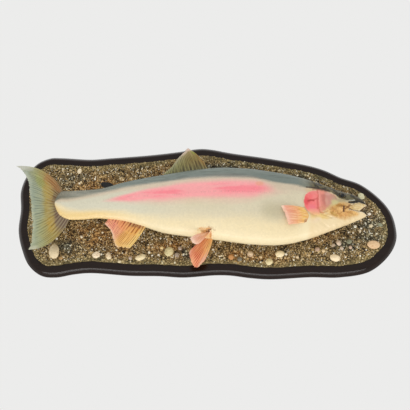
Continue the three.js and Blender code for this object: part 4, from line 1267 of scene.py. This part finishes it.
def eye_material():
    """A glass eye: black pupil, thin gold ring, dark olive iris, all under a clear coat."""
    p = Paint("eye_glass", Coat_Weight=0.6, Coat_Roughness=0.02, Roughness=0.3, Specular_IOR_Level=0.15)
    dx, dz = p.x - EYE["x"], p.z - EYE["z"]
    forward = p.smooth(dx, 1.0, 5.0) * 0.75
    reach = p.math("SQRT", dx * dx + dz * dz) - forward
    turn = p.math("ARCTAN2", dz, dx)
    spokes = p.noise(0.5, detail=4, where=p.vector(turn * 3.0, reach * 0.3, 0.0))
    iris = p.mix(spokes, (34, 32, 18), (84, 74, 36))
    iris = p.mix(p.smooth(reach, 5.2, 6.6), iris, (26, 28, 22))
    ring = p.smooth(reach, 4.3, 4.5) * p.smooth(reach, 5.0, 4.6)
    iris = p.mix(ring * 0.7, iris, (150, 118, 54))
    base = p.mix(p.smooth(reach, 4.5, 4.25), iris, (5, 5, 5))
    return p.finish(base)


def eye(name, side, material):
    """A glass ball with a slight cornea, facing straight out of the flank."""
    x, z = EYE["x"], EYE["z"]
    depth = flank_reach(np.array(x), np.array(z)) - EYE["radius"] + EYE["showing"]
    centre = np.array([x, along(MIDDLE, np.array(x)) - side * depth, z], float)
    polar, around = np.meshgrid(np.linspace(0, math.pi, 49)[1:-1],
                                np.linspace(0, 2 * math.pi, 64, endpoint=False), indexing="ij")
    radius = EYE["radius"] * (1 - 0.012 * smoothstep(0.25, 0.62, polar)) - 0.05
    ball = np.stack([np.sin(polar) * np.cos(around), -side * np.cos(polar),
                     np.sin(polar) * np.sin(around)], -1)
    points = np.vstack([
        (centre + ball * radius[..., None]).reshape(-1, 3),
        centre + [0, -side * (EYE["radius"] - 0.05), 0],
        centre + [0, side * (EYE["radius"] - 0.15), 0]])
    rows, count = polar.shape
    ring, last_ring = np.arange(count), (rows - 1) * count + np.arange(count)
    faces = [grid_faces(rows, count, closed=True), fan(rows * count, ring),
             fan(rows * count + 1, last_ring, flip=True)]
    uv = points[:, [0, 2]] * 0.05 % 1
    piece = make_piece(name + "_glass", points, faces, material, uv=uv)
    make_outward(piece)
    return settle(piece, "eye_glass", name)


# ---- board and hanger -----------------------------------------------------------------

MOULDING = [
    (-0.0, 1.0), (-0.25, 0.5), (-0.6, 0.15), (-1.2, 0.0), (-3.0, 0.0), (-4.6, 0.05), (-5.6, 0.5),
    (-6.8, 1.5), (-8.0, 2.3), (-9.4, 2.9), (-10.2, 3.45), (-11.3, 4.4), (-12.6, 5.53), (-13.6, 6.4),
    (-14.3, 7.15), (-14.75, 7.9), (-14.95, 8.7), (-15.0, 9.6)]
POCKET = {"x": 0, "z": 92, "width": 70, "height": 26, "depth": 8}
EDGE_STEPS = 640
DENSE_STEPS = 8001


def edge_line(count):
    """The board's widest outline in equal steps, with its inward directions."""
    dense = curve(BOARD_OUTLINE, np.linspace(0, 1, DENSE_STEPS), closed=True)
    lengths = lengths_along(dense)
    steps = np.linspace(0, lengths[-1], count, endpoint=False)
    line = np.stack([np.interp(steps, lengths, dense[:, k]) for k in range(2)], -1)
    run = np.roll(line, -2, axis=0) - np.roll(line, 2, axis=0)
    run /= np.linalg.norm(run, axis=1, keepdims=True)
    return line, np.stack([run[:, 1], -run[:, 0]], -1)


EDGE, INWARD = edge_line(EDGE_STEPS)


def edge_ring(inset, y):
    ring = EDGE + INWARD * inset
    return np.stack([ring[:, 0], np.full(len(ring), y), ring[:, 1]], -1)


def board(material):
    rings = np.array([edge_ring(inset + 0.2, y) for y, inset in MOULDING])
    rows, count = rings.shape[:2]
    points = rings.reshape(-1, 3)
    back, face = np.arange(count)[None], ((rows - 1) * count + np.arange(count))[None, ::-1]
    uv = flat_uv(points) + np.stack([0 * points[:, 1], points[:, 1] * 0.002], -1)
    faces = [grid_faces(rows, count, closed=True), back, face]
    slab = make_piece("plaque", points, faces, material, uv=uv)
    make_outward(slab)
    cut_away(slab, prism("pocket_cutter", pocket_outline(), -POCKET["depth"], POCKET["depth"],
                         material))
    sharpen(slab)
    return settle(slab, "board_wood", "board")


def pocket_outline():
    """The rounded rectangle of the pocket in the back, corner by corner."""
    radius = 3.0
    wide, high = POCKET["width"] / 2 - radius, POCKET["height"] / 2 - radius
    turn = np.linspace(0, math.pi / 2, 7)
    corners = ((wide, high), (-wide, high), (-wide, -high), (wide, -high))
    return np.array([(POCKET["x"] + x + radius * math.cos(a + quarter * math.pi / 2),
                      POCKET["z"] + z + radius * math.sin(a + quarter * math.pi / 2))
                     for quarter, (x, z) in enumerate(corners) for a in turn])


def wood_material():
    """Nearly black stain under a satin lacquer, with the grain just showing along the board."""
    p = Paint("board_lacquer", Specular_IOR_Level=0.24)
    grain = p.noise(5, detail=5, stretch=(26, 3, 1), distortion=0.4)
    pores = p.noise(0.9, detail=2, stretch=(18, 1, 0.6))
    base = p.mix(grain, (17, 8, 4), (38, 22, 15))
    base = p.mix(p.smooth(pores, 0.62, 0.72) * 0.6, base, (8, 6, 5))
    worn = p.smooth(p.noise(30, detail=4), 0.6, 0.75) * 0.2
    base = p.mix(worn, base, (50, 35, 27))
    p.relief(pores * 0.5 + p.noise(2.0, detail=3) * 0.4, 0.1, 0.0003)
    return p.finish(base, 0.12 + p.noise(24, detail=3) * 0.12)


def steel_material():
    p = Paint("brushed_steel", Metallic=1.0, Roughness=0.35)
    brushed = p.noise(0.8, detail=3, stretch=(30, 1, 1))
    base = p.mix(brushed, (120, 122, 124), (172, 174, 176))
    base = p.mix(p.smooth(p.noise(6, detail=4), 0.58, 0.75) * 0.4, base, (96, 82, 64))
    p.relief(brushed, 0.2, 0.0002)
    return p.finish(base, 0.26 + brushed * 0.2)


# ---- gravel and pebbles ---------------------------------------------------------------

BED_INSET = 20.0
GRAIN_PITCH, COARSE_PITCH = 2.25, 6.5
GRAIN_PIECES = 4
GRAIN_SHAPES = 6
GRAIN_LEVEL = -17.3              # the depth of the grains' middles
GRAIN_LIMIT = -19.9              # no grain stands out further than this


def bed_edge(inset, seed=5):
    """The bed's own outline: the board's edge drawn in, with a slightly uneven border."""
    turn = np.linspace(0, 2 * math.pi, EDGE_STEPS, endpoint=False)
    random = np.random.default_rng(seed)
    uneven = sum(np.sin(turn * n + random.uniform(0, 6.28)) for n in (31, 47, 73, 110)) * 0.22
    return EDGE + INWARD * (inset + 0.5 + uneven)[:, None]


def inside(outline, x, z):
    """Which points lie inside a closed outline."""
    result = np.zeros(len(x), bool)
    a, b = outline, np.roll(outline, -1, axis=0)
    for (ax, az), (bx, bz) in zip(a, b):
        crosses = (az > z) != (bz > z)
        if crosses.any():
            at = ax + (z[crosses] - az) * (bx - ax) / (bz - az)
            result[crosses] ^= x[crosses] < at
    return result


def bed_points(pitch, outline, seed):
    """A shaken triangular lattice of points inside the outline."""
    random = np.random.default_rng(seed)
    low, high = outline.min(axis=0), outline.max(axis=0)
    rows = np.arange(low[1], high[1], pitch * 0.866)
    points = []
    for i, z in enumerate(rows):
        x = np.arange(low[0] + pitch * 0.5 * (i % 2), high[0], pitch)
        points.append(np.stack([x, np.full(len(x), z)], -1))
    points = np.concatenate(points)
    points += random.uniform(-0.3, 0.3, points.shape) * pitch
    return points[inside(outline, points[:, 0], points[:, 1])]


def under_fish(x, z, margin=0.0):
    """Where the fish lies flat on the bed, so that nothing stands on it there."""
    rest = BED_Y - REST_GAP
    reach = flank_reach(x, z)
    inside_body = (z < along(TOP, x)) & (z > along(BOTTOM, x)) & (x > TAIL_X) & (x < SNOUT_X)
    return inside_body & (along(MIDDLE, x) + reach > rest - margin)


def bed_height(x, z):
    """How far the glued sand stands above its mean level."""
    broad, middle, small = (wave_noise(x, z, size, seed) for size, seed in ((46, 21), (15, 22), (6, 23)))
    return 0.35 * broad + 0.3 * middle + 0.2 * small


def gravel_material():
    """Glued sand and fine gravel: each grain has its own tone, and the mixture drifts from
    orange-brown beside the fish to dark grey patches and a paler olive border."""
    p = Paint("gravel_paint", Roughness=0.85, Specular_IOR_Level=0.3)
    tone, edge = p.attribute("tone"), p.attribute("edge")
    base = p.ramp(tone, [
        (0.0, (26, 21, 15)), (0.14, (62, 50, 32)), (0.3, (128, 104, 64)), (0.5, (176, 148, 98)),
        (0.7, (206, 178, 126)), (0.86, (228, 204, 158)), (0.95, (240, 226, 192)),
        (1.0, (250, 242, 224))])
    warm = p.smooth(p.noise(60, detail=3, stretch=(1.6, 1, 1)), 0.5, 0.66)
    warm = p.math("MAXIMUM", warm * 0.45, brown_zones(p))
    brown = p.ramp(tone, [
        (0.0, (46, 28, 14)), (0.25, (132, 88, 42)), (0.6, (206, 152, 84)), (0.9, (234, 190, 124)),
        (1.0, (244, 222, 178))])
    base = p.mix(warm * 0.75, base, brown)
    cool = p.ramp(tone, [
        (0.0, (18, 18, 15)), (0.4, (74, 74, 62)), (0.75, (136, 136, 114)), (0.93, (190, 188, 162)),
        (1.0, (232, 230, 212))])
    base = p.mix(dark_zones(p) * 0.8, base, cool)
    border = p.smooth(edge, 16, 3)
    base = p.mix(border * 0.42, base, p.mix(tone, (104, 94, 58), (190, 178, 126)))
    mottled = 0.82 + p.noise(0.8, detail=3) * 0.36
    base = p.mix(1.0, base, p.grey(mottled), kind="MULTIPLY")
    p.relief(p.noise(0.5, detail=3), 0.5, 0.0003)
    return p.finish(base, 0.7 + tone * 0.2)


def zones(p, spots):
    """Soft-edged patches of the bed, broken up by noise: x, z and half sizes."""
    total = None
    for spot in spots:
        one = p.blob(*spot, soft=0.8)
        total = one if total is None else p.math("MAXIMUM", total, one)
    return total * p.smooth(p.noise(11, detail=3), 0.3, 0.55)


def brown_zones(p):
    return zones(p, [(-205, 52, 62, 14), (-222, -52, 48, 24), (-60, -78, 62, 12), (105, -98, 46, 9),
                     (-110, 60, 40, 6), (236, -62, 30, 8), (-165, -74, 20, 16), (60, -96, 20, 16)])


def dark_zones(p):
    return zones(p, [(-276, -78, 24, 14), (-212, -94, 9, 14), (-42, -92, 16, 14), (-282, 62, 14, 16),
                     (322, -28, 34, 34), (274, -74, 26, 14), (306, 20, 16, 20), (150, -92, 10, 8),
                     (20, 92, 70, 8), (210, 70, 60, 9), (-250, 68, 12, 10), (330, -60, 40, 8)])


def edge_distance(x, z, outline):
    """How far each point lies from the outline, to the nearest of its corners."""
    result = np.full(len(x), 1e9)
    for ax, az in outline[::4]:
        result = np.minimum(result, np.hypot(x - ax, z - az))
    return result


def gravel_base(material):
    """The glued sheet that the grains stand in, sloping down to the bare rim."""
    outline = bed_edge(BED_INSET)
    inner = bed_edge(BED_INSET + 1.4)
    spread = bed_points(5.0, bed_edge(BED_INSET + 4), 6)
    flat = np.concatenate([outline, inner, spread])
    count = EDGE_STEPS
    ring = np.arange(count)
    edges = [(int(a), int((a + 1) % count)) for a in ring]
    corners, border = [Vector(p) for p in flat], [list(range(count))]
    vertices, _, triangles, *_ = delaunay_2d_cdt(corners, edges, border, 1, 1e-5)
    flat = np.array(vertices)
    from_rim = edge_distance(*flat.T, EDGE + INWARD * (BED_INSET + 0.2))
    y = -BOARD_THICKNESS - smoothstep(0, 2.2, from_rim) * (2.15 + 0.5 * bed_height(*flat.T))
    points = np.stack([flat[:, 0], y, flat[:, 1]], -1)
    faces = np.array([list(t) for t in triangles], np.int32)
    low = points.copy()
    low[:, 1] = -BOARD_THICKNESS + 0.2
    below = faces[:, ::-1] + len(points)
    after, size = (ring + 1) % count, len(points)
    border = np.stack([ring, after, after + size, ring + size], -1)
    every = np.vstack([points, low])
    distance = edge_distance(every[:, 0], every[:, 2], outline)
    piece = make_piece("gravel_base", every, [faces, below, border], material, uv=flat_uv(every),
                       tone=0.2, edge=distance)
    make_outward(piece)
    return settle(piece, "gravel", "gravel_bed")


def rough_ball(seed):
    """A rough little stone: an icosahedron with shaken corners."""
    golden = (1 + 5 ** 0.5) / 2
    corners = [(0, a, b) for a in (-1, 1) for b in (-golden, golden)]
    corners += [(a, b, 0) for a in (-1, 1) for b in (-golden, golden)]
    corners += [(b, 0, a) for a in (-1, 1) for b in (-golden, golden)]
    corners = np.array(corners, float)
    corners /= np.linalg.norm(corners, axis=1, keepdims=True)
    faces = []
    near = 1.1
    for i in range(12):
        for j in range(i + 1, 12):
            for k in range(j + 1, 12):
                sides = [np.linalg.norm(corners[a] - corners[b]) for a, b in ((i, j), (j, k), (i, k))]
                if max(sides) < near:
                    normal = np.cross(corners[j] - corners[i], corners[k] - corners[i])
                    faces.append((i, j, k) if normal @ corners[i] > 0 else (i, k, j))
    random = np.random.default_rng(seed)
    return corners * random.uniform(0.72, 1.12, (12, 1)), np.array(faces, np.int32)


def random_turns(count, random):
    """count random rotation matrices."""
    q = random.normal(size=(count, 4))
    q /= np.linalg.norm(q, axis=1, keepdims=True)
    w, x, y, z = q.T
    return np.stack([
        np.stack([1 - 2 * (y * y + z * z), 2 * (x * y - z * w), 2 * (x * z + y * w)], -1),
        np.stack([2 * (x * y + z * w), 1 - 2 * (x * x + z * z), 2 * (y * z - x * w)], -1),
        np.stack([2 * (x * z - y * w), 2 * (y * z + x * w), 1 - 2 * (x * x + y * y)], -1)], 1)


# Where larger grains lie in drifts: x, z, spread in x and z, how many.
DRIFTS = [(-55, -92, 15, 8, 34), (245, -80, 26, 9, 42), (-112, -96, 26, 9, 26), (-165, -94, 18, 9, 20),
          (60, -102, 26, 6, 24), (180, -98, 22, 6, 16), (318, -45, 20, 18, 30), (-235, -72, 24, 14, 22),
          (-250, 60, 30, 12, 18), (-150, 66, 30, 8, 14), (335, 5, 12, 18, 14), (-320, -60, 8, 30, 10)]


def grain_field(outline):
    """Every grain's place, size and tone: a close layer of sand with coarser grains strewn in."""
    random = np.random.default_rng(8)
    sand = bed_points(GRAIN_PITCH, outline, 9)
    coarse = bed_points(COARSE_PITCH, bed_edge(BED_INSET + 3), 10)
    share = 0.35 + 0.3 * wave_noise(*coarse.T, 26, 33)
    coarse = coarse[random.uniform(0, 1, len(coarse)) < share]
    drifts = np.concatenate([random.normal((x, z), (wide, high), (count, 2))
                             for x, z, wide, high, count in DRIFTS])
    drifts = drifts[inside(bed_edge(BED_INSET + 4), drifts[:, 0], drifts[:, 1])]
    places = np.concatenate([sand, coarse, drifts])
    size = np.concatenate([random.lognormal(0.12, 0.22, len(sand)),
                           random.uniform(1.6, 2.8, len(coarse)),
                           random.uniform(2.0, 3.3, len(drifts))])
    size = np.clip(size, 0.75, 3.3)
    drift = 0.13 * wave_noise(*places.T, 20, 31) + 0.13 * wave_noise(*places.T, 7, 32)
    tone = np.clip(random.normal(0.5, 0.25, len(places)) + drift, 0, 1)
    tone[len(sand):] = np.clip(random.normal(0.5, 0.3, len(places) - len(sand)), 0, 1)
    pale = random.uniform(0, 1, len(places)) < 0.015
    tone[pale] = random.uniform(0.9, 1.0, pale.sum())
    open_air = ~under_fish(places[:, 0], places[:, 1], margin=-0.4)
    for x, z, wide, high, *_ in STONES:
        open_air &= np.hypot(places[:, 0] - x, places[:, 1] - z) > min(wide, high) * 0.38
    return places[open_air], size[open_air], tone[open_air]


def gravel_grains(material):
    """The single grains, turned and squashed at random and joined in a few pieces."""
    outline = bed_edge(BED_INSET + 0.4)
    places, size, tone = grain_field(outline)
    random = np.random.default_rng(12)
    distance = edge_distance(places[:, 0], places[:, 1], outline)
    level = GRAIN_LEVEL - 0.5 * bed_height(places[:, 0], places[:, 1]) * smoothstep(0, 6, distance)
    level = level + (1 - smoothstep(0, 2.5, distance)) * 0.9
    balls = [rough_ball(seed) for seed in range(GRAIN_SHAPES)]
    order = np.argsort(places[:, 0])
    for number, chosen in enumerate(np.array_split(order, GRAIN_PIECES), 1):
        count = len(chosen)
        turns = random_turns(count, random)
        kinds = random.integers(0, len(balls), count)
        template = np.stack([ball[0] for ball in balls])[kinds]
        squash = random.uniform(0.75, 1.2, (count, 1, 3))
        local = np.einsum("nij,nkj->nki", turns, template * squash) * size[chosen, None, None]
        local[..., 1] *= 0.72
        depth = level[chosen] - 0.25 * size[chosen]
        centre = np.stack([places[chosen, 0], depth, places[chosen, 1]], -1)
        points = (local + centre[:, None]).reshape(-1, 3)
        points[:, 1] = np.maximum(points[:, 1], GRAIN_LIMIT)
        faces = (balls[0][1][None] + (np.arange(count) * 12)[:, None, None]).reshape(-1, 3)
        owner = np.repeat(np.arange(count), 12)
        uv = flat_uv(centre[owner]) + local.reshape(-1, 3)[:, [0, 2]] * 0.0006
        piece = make_piece(f"gravel_grains_{number}", points, [faces], material, uv=uv,
                           smooth=False, tone=tone[chosen][owner], edge=distance[chosen][owner])
        settle(piece, "gravel", "gravel_bed")


# Pebbles: x, z, width, height, thickness, tilt, how angular, and their two colours.
STONES = [
    (-301, -89, 20, 30, 9, 4, 0.35, (216, 206, 182), (190, 178, 150)),
    (-260, 83, 9, 12, 5, -20, 0.4, (226, 220, 202), (198, 188, 162)),
    (-217, -96, 17, 14, 7, 12, 0.5, (224, 216, 200), (168, 140, 116)),
    (-193, -98, 11, 15, 6, 25, 0.7, (216, 206, 182), (158, 124, 84)),
    (-130, -101, 22, 12, 6, 22, 0.4, (222, 214, 186), (196, 184, 150)),
    (-74, -89, 18, 20, 8, -40, 1.0, (202, 196, 160), (164, 156, 122)),
    (87, -94, 12, 13, 6, 50, 0.8, (206, 190, 168), (150, 126, 104)),
    (124, -110, 15, 14, 6, 0, 0.3, (212, 206, 174), (184, 172, 132)),
    (145, -94, 19, 14, 7, 6, 0.4, (228, 220, 194), (204, 192, 160)),
    (254, -102, 21, 15, 8, -8, 0.4, (226, 216, 194), (194, 178, 148)),
    (263, -71, 10, 12, 5, 30, 0.6, (210, 198, 188), (170, 158, 148)),
    (332, -75, 26, 17, 8, -4, 0.25, (210, 186, 156), (188, 158, 126)),
    (315, 28, 15, 12, 6, -35, 0.8, (200, 204, 180), (168, 170, 144)),
    (49, -100, 11, 12, 6, 10, 0.4, (188, 142, 92), (150, 100, 56)),
    (66, -104, 10, 9, 5, 40, 0.7, (120, 118, 110), (88, 86, 80)),
    (284, -68, 12, 10, 5, 20, 0.5, (128, 134, 116), (96, 100, 86)),
    (348, -33, 11, 8, 4, -15, 0.5, (134, 140, 124), (100, 104, 90)),
    (-58, -96, 9, 10, 5, 15, 0.8, (156, 146, 140), (110, 102, 98)),
]
SMALL_STONES = [
    (-287, -102, 9, 7, 4, 20, 0.6, (178, 150, 104), (140, 112, 72)),
    (-171, -109, 8, 6, 4, 10, 0.5, (206, 200, 176), (170, 160, 130)),
    (-88, -81, 7, 7, 4, 0, 0.5, (214, 196, 150), (176, 150, 100)),
    (-150, -102, 7, 8, 4, 30, 0.7, (176, 166, 160), (130, 118, 112)),
    (-52, -82, 8, 7, 4, -30, 0.8, (190, 178, 170), (132, 120, 116)),
    (108, -100, 5, 6, 3, 0, 0.4, (220, 208, 180), (190, 170, 130)),
    (220, -84, 10, 9, 5, 25, 0.8, (170, 150, 136), (126, 104, 92)),
    (232, -87, 8, 7, 4, -20, 0.6, (206, 190, 158), (160, 140, 108)),
    (252, -76, 9, 7, 4, 15, 0.7, (186, 174, 160), (140, 128, 116)),
    (268, -82, 7, 8, 4, 0, 0.7, (196, 186, 176), (150, 136, 126)),
    (286, -80, 7, 7, 4, 40, 0.6, (190, 172, 160), (148, 126, 112)),
    (330, -35, 9, 7, 4, 10, 0.5, (206, 200, 178), (160, 150, 126)),
    (307, -46, 5, 7, 3, 0, 0.6, (212, 206, 190), (170, 160, 140)),
    (328, -10, 8, 6, 4, 0, 0.5, (222, 222, 218), (186, 184, 178)),
    (-100, -108, 8, 6, 4, -10, 0.6, (150, 132, 96), (112, 94, 62)),
    (180, -100, 6, 6, 3, 0, 0.5, (212, 200, 176), (168, 150, 120)),
    (200, -108, 7, 5, 3, 20, 0.6, (150, 134, 104), (110, 96, 70)),
    (-330, -20, 7, 9, 4, 15, 0.6, (176, 160, 124), (132, 116, 84)),
    (-318, 92, 8, 6, 4, 10, 0.6, (166, 158, 136), (120, 112, 90)),
    (-150, 88, 8, 6, 4, 25, 0.7, (122, 118, 100), (84, 80, 66)),
    (60, 96, 7, 5, 3, 0, 0.6, (150, 142, 118), (108, 100, 78)),
    (150, 84, 7, 6, 3, 30, 0.6, (176, 168, 140), (130, 120, 96)),
]


def pebble_points(seed, angular):
    """A water-worn pebble of unit size: a ball with a few soft flats."""
    random = np.random.default_rng(seed)
    polar, around = np.meshgrid(np.linspace(0, math.pi, 22),
                                np.linspace(0, 2 * math.pi, 32, endpoint=False), indexing="ij")
    ball = np.stack([np.sin(polar) * np.cos(around), np.cos(polar), np.sin(polar) * np.sin(around)], -1)
    radius = np.ones(polar.shape)
    for _ in range(7):
        normal = random.normal(size=3)
        normal /= np.linalg.norm(normal)
        facing = np.maximum(ball @ normal, 1e-3)
        reach = random.uniform(0.98 - 0.3 * angular, 1.02) / facing
        sharp = 8 + 10 * angular
        radius = (radius ** -sharp + reach ** -sharp) ** (-1 / sharp)
    radius *= 1 + 0.02 * wave_noise(ball[..., 0] * 10, ball[..., 2] * 10 + ball[..., 1] * 7, 9, seed)
    return ball * radius[..., None]


def pebble(name, values, *nodes):
    x, z, wide, high, thick, tilt, angular, light, dark = values
    seed = abs(int(x * 7 + z * 3)) + 1
    shape = pebble_points(seed, angular)
    reach = np.abs(shape).max(axis=(0, 1))
    half = np.array([wide / 2, thick * 0.62, high / 2])
    local = shape / reach * half
    turn = math.radians(tilt)
    across = local[..., 0] * math.cos(turn) - local[..., 2] * math.sin(turn)
    up = local[..., 0] * math.sin(turn) + local[..., 2] * math.cos(turn)
    points = np.stack([across + x, local[..., 1] + BED_Y - thick * 0.38, up + z], -1)
    rows, count = points.shape[:2]
    piece = make_piece(name, points.reshape(-1, 3), [grid_faces(rows, count, closed=True)],
                       pebble_material(name, light, dark), uv=flat_uv(points).reshape(-1, 2))
    make_outward(piece, weld=True)
    return settle(piece, "pebble", *nodes)


def warmed(tint):
    red, green, blue = tint
    return colour(min(red * 1.1, 255), green * 1.05, blue * 0.97)


def pebble_material(name, light, dark):
    p = Paint(name + "_stone", Roughness=0.62)
    veins = p.noise(4.5, detail=5, stretch=(1.5, 1, 0.8), distortion=1.2)
    base = p.mix(p.smooth(veins, 0.46, 0.72), warmed(light), warmed(dark))
    specks = p.smooth(p.cells(1.6), 0.2, 0.08)
    base = p.mix(specks * 0.35, base, colour(*[v * 0.62 for v in dark]))
    p.relief(veins + p.noise(0.6, detail=3) * 0.5, 0.35, 0.0005)
    return p.finish(base, 0.5 + veins * 0.25)


# ---- camera, light and stage ----------------------------------------------------------

CAMERA_TARGET = Vector((-2.5, -15.0, 11.0)) * MM
CAMERA_DISTANCE = 1616 * MM
CAMERA_RISE = math.radians(-20)


def set_camera():
    data = bpy.data.cameras.new("camera")
    data.sensor_width = 36
    data.lens = 70
    camera = bpy.data.objects.new("camera", data)
    bpy.context.scene.collection.objects.link(camera)
    look = Vector((0, math.cos(CAMERA_RISE), -math.sin(CAMERA_RISE)))
    camera.location = CAMERA_TARGET - look * CAMERA_DISTANCE
    camera.rotation_euler = (math.pi / 2 - CAMERA_RISE, 0, 0)
    bpy.context.scene.camera = camera


def add_light(name, place, target, size, power):
    data = bpy.data.lights.new(name, "AREA")
    data.shape = "RECTANGLE"
    data.size, data.size_y = size
    data.energy = power
    light = bpy.data.objects.new(name, data)
    light.location = place
    light.rotation_euler = (Vector(target) - Vector(place)).to_track_quat("-Z", "Y").to_euler()
    bpy.context.scene.collection.objects.link(light)


def set_stage():
    world = bpy.data.worlds.new("studio")
    world.use_nodes = True
    background = world.node_tree.nodes["Background"]
    background.inputs["Color"].default_value = colour(236, 236, 235)
    background.inputs["Strength"].default_value = 1.0
    bpy.context.scene.world = world
    bpy.context.scene.view_settings.view_transform = "Standard"
    floor_paint = Paint("floor_paint", Roughness=0.9)
    tint = floor_paint.mix(floor_paint.noise(400, detail=2), (222, 222, 220), (228, 228, 227))
    floor_paint.finish(tint)
    size, level = 9000, -2200
    steps = np.linspace(-size, size, 5)
    x, y = np.meshgrid(steps, steps, indexing="ij")
    points = np.stack([x.ravel(), y.ravel(), np.full(x.size, level)], -1)
    floor = make_piece("floor", points, [grid_faces(5, 5)], floor_paint.material)


def set_lights():
    add_light("key", (-0.5, -1.4, 2.0), (0, 0, 0), (2.4, 1.2), 12)
    add_light("low", (0.0, -1.0, -1.9), (0, 0, -0.1), (2.4, 0.9), 8)
    add_light("strip", (0.0, -0.34, -1.7), (0, 0, -0.13), (2.8, 0.18), 14)


def build():
    lining = Paint("mouth_lining", Roughness=0.5)
    lining.finish(lining.mix(lining.noise(4), (96, 60, 30), (150, 104, 58)))
    paint = fish_paint()
    fish_skin(paint, lining.material)
    scales(paint, skin_columns(), skin_angles())
    for name in FINS:
        fin(name, fin_paint(name))
    glass = eye_material()
    eye("eye_right", 1, glass)
    eye("eye_left", -1, glass)
    board(wood_material())
    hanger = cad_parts["hanger"]
    hanger.data.materials.clear()
    hanger.data.materials.append(steel_material())
    gravel = gravel_material()
    gravel_base(gravel)
    gravel_grains(gravel)
    for number, values in enumerate(STONES, 1):
        pebble(f"pebble_{number:02d}", values, f"stone_{number:02d}")
    for number, values in enumerate(SMALL_STONES, 1):
        pebble(f"small_pebble_{number:02d}", values)


build()
set_camera()
set_stage()
set_lights()
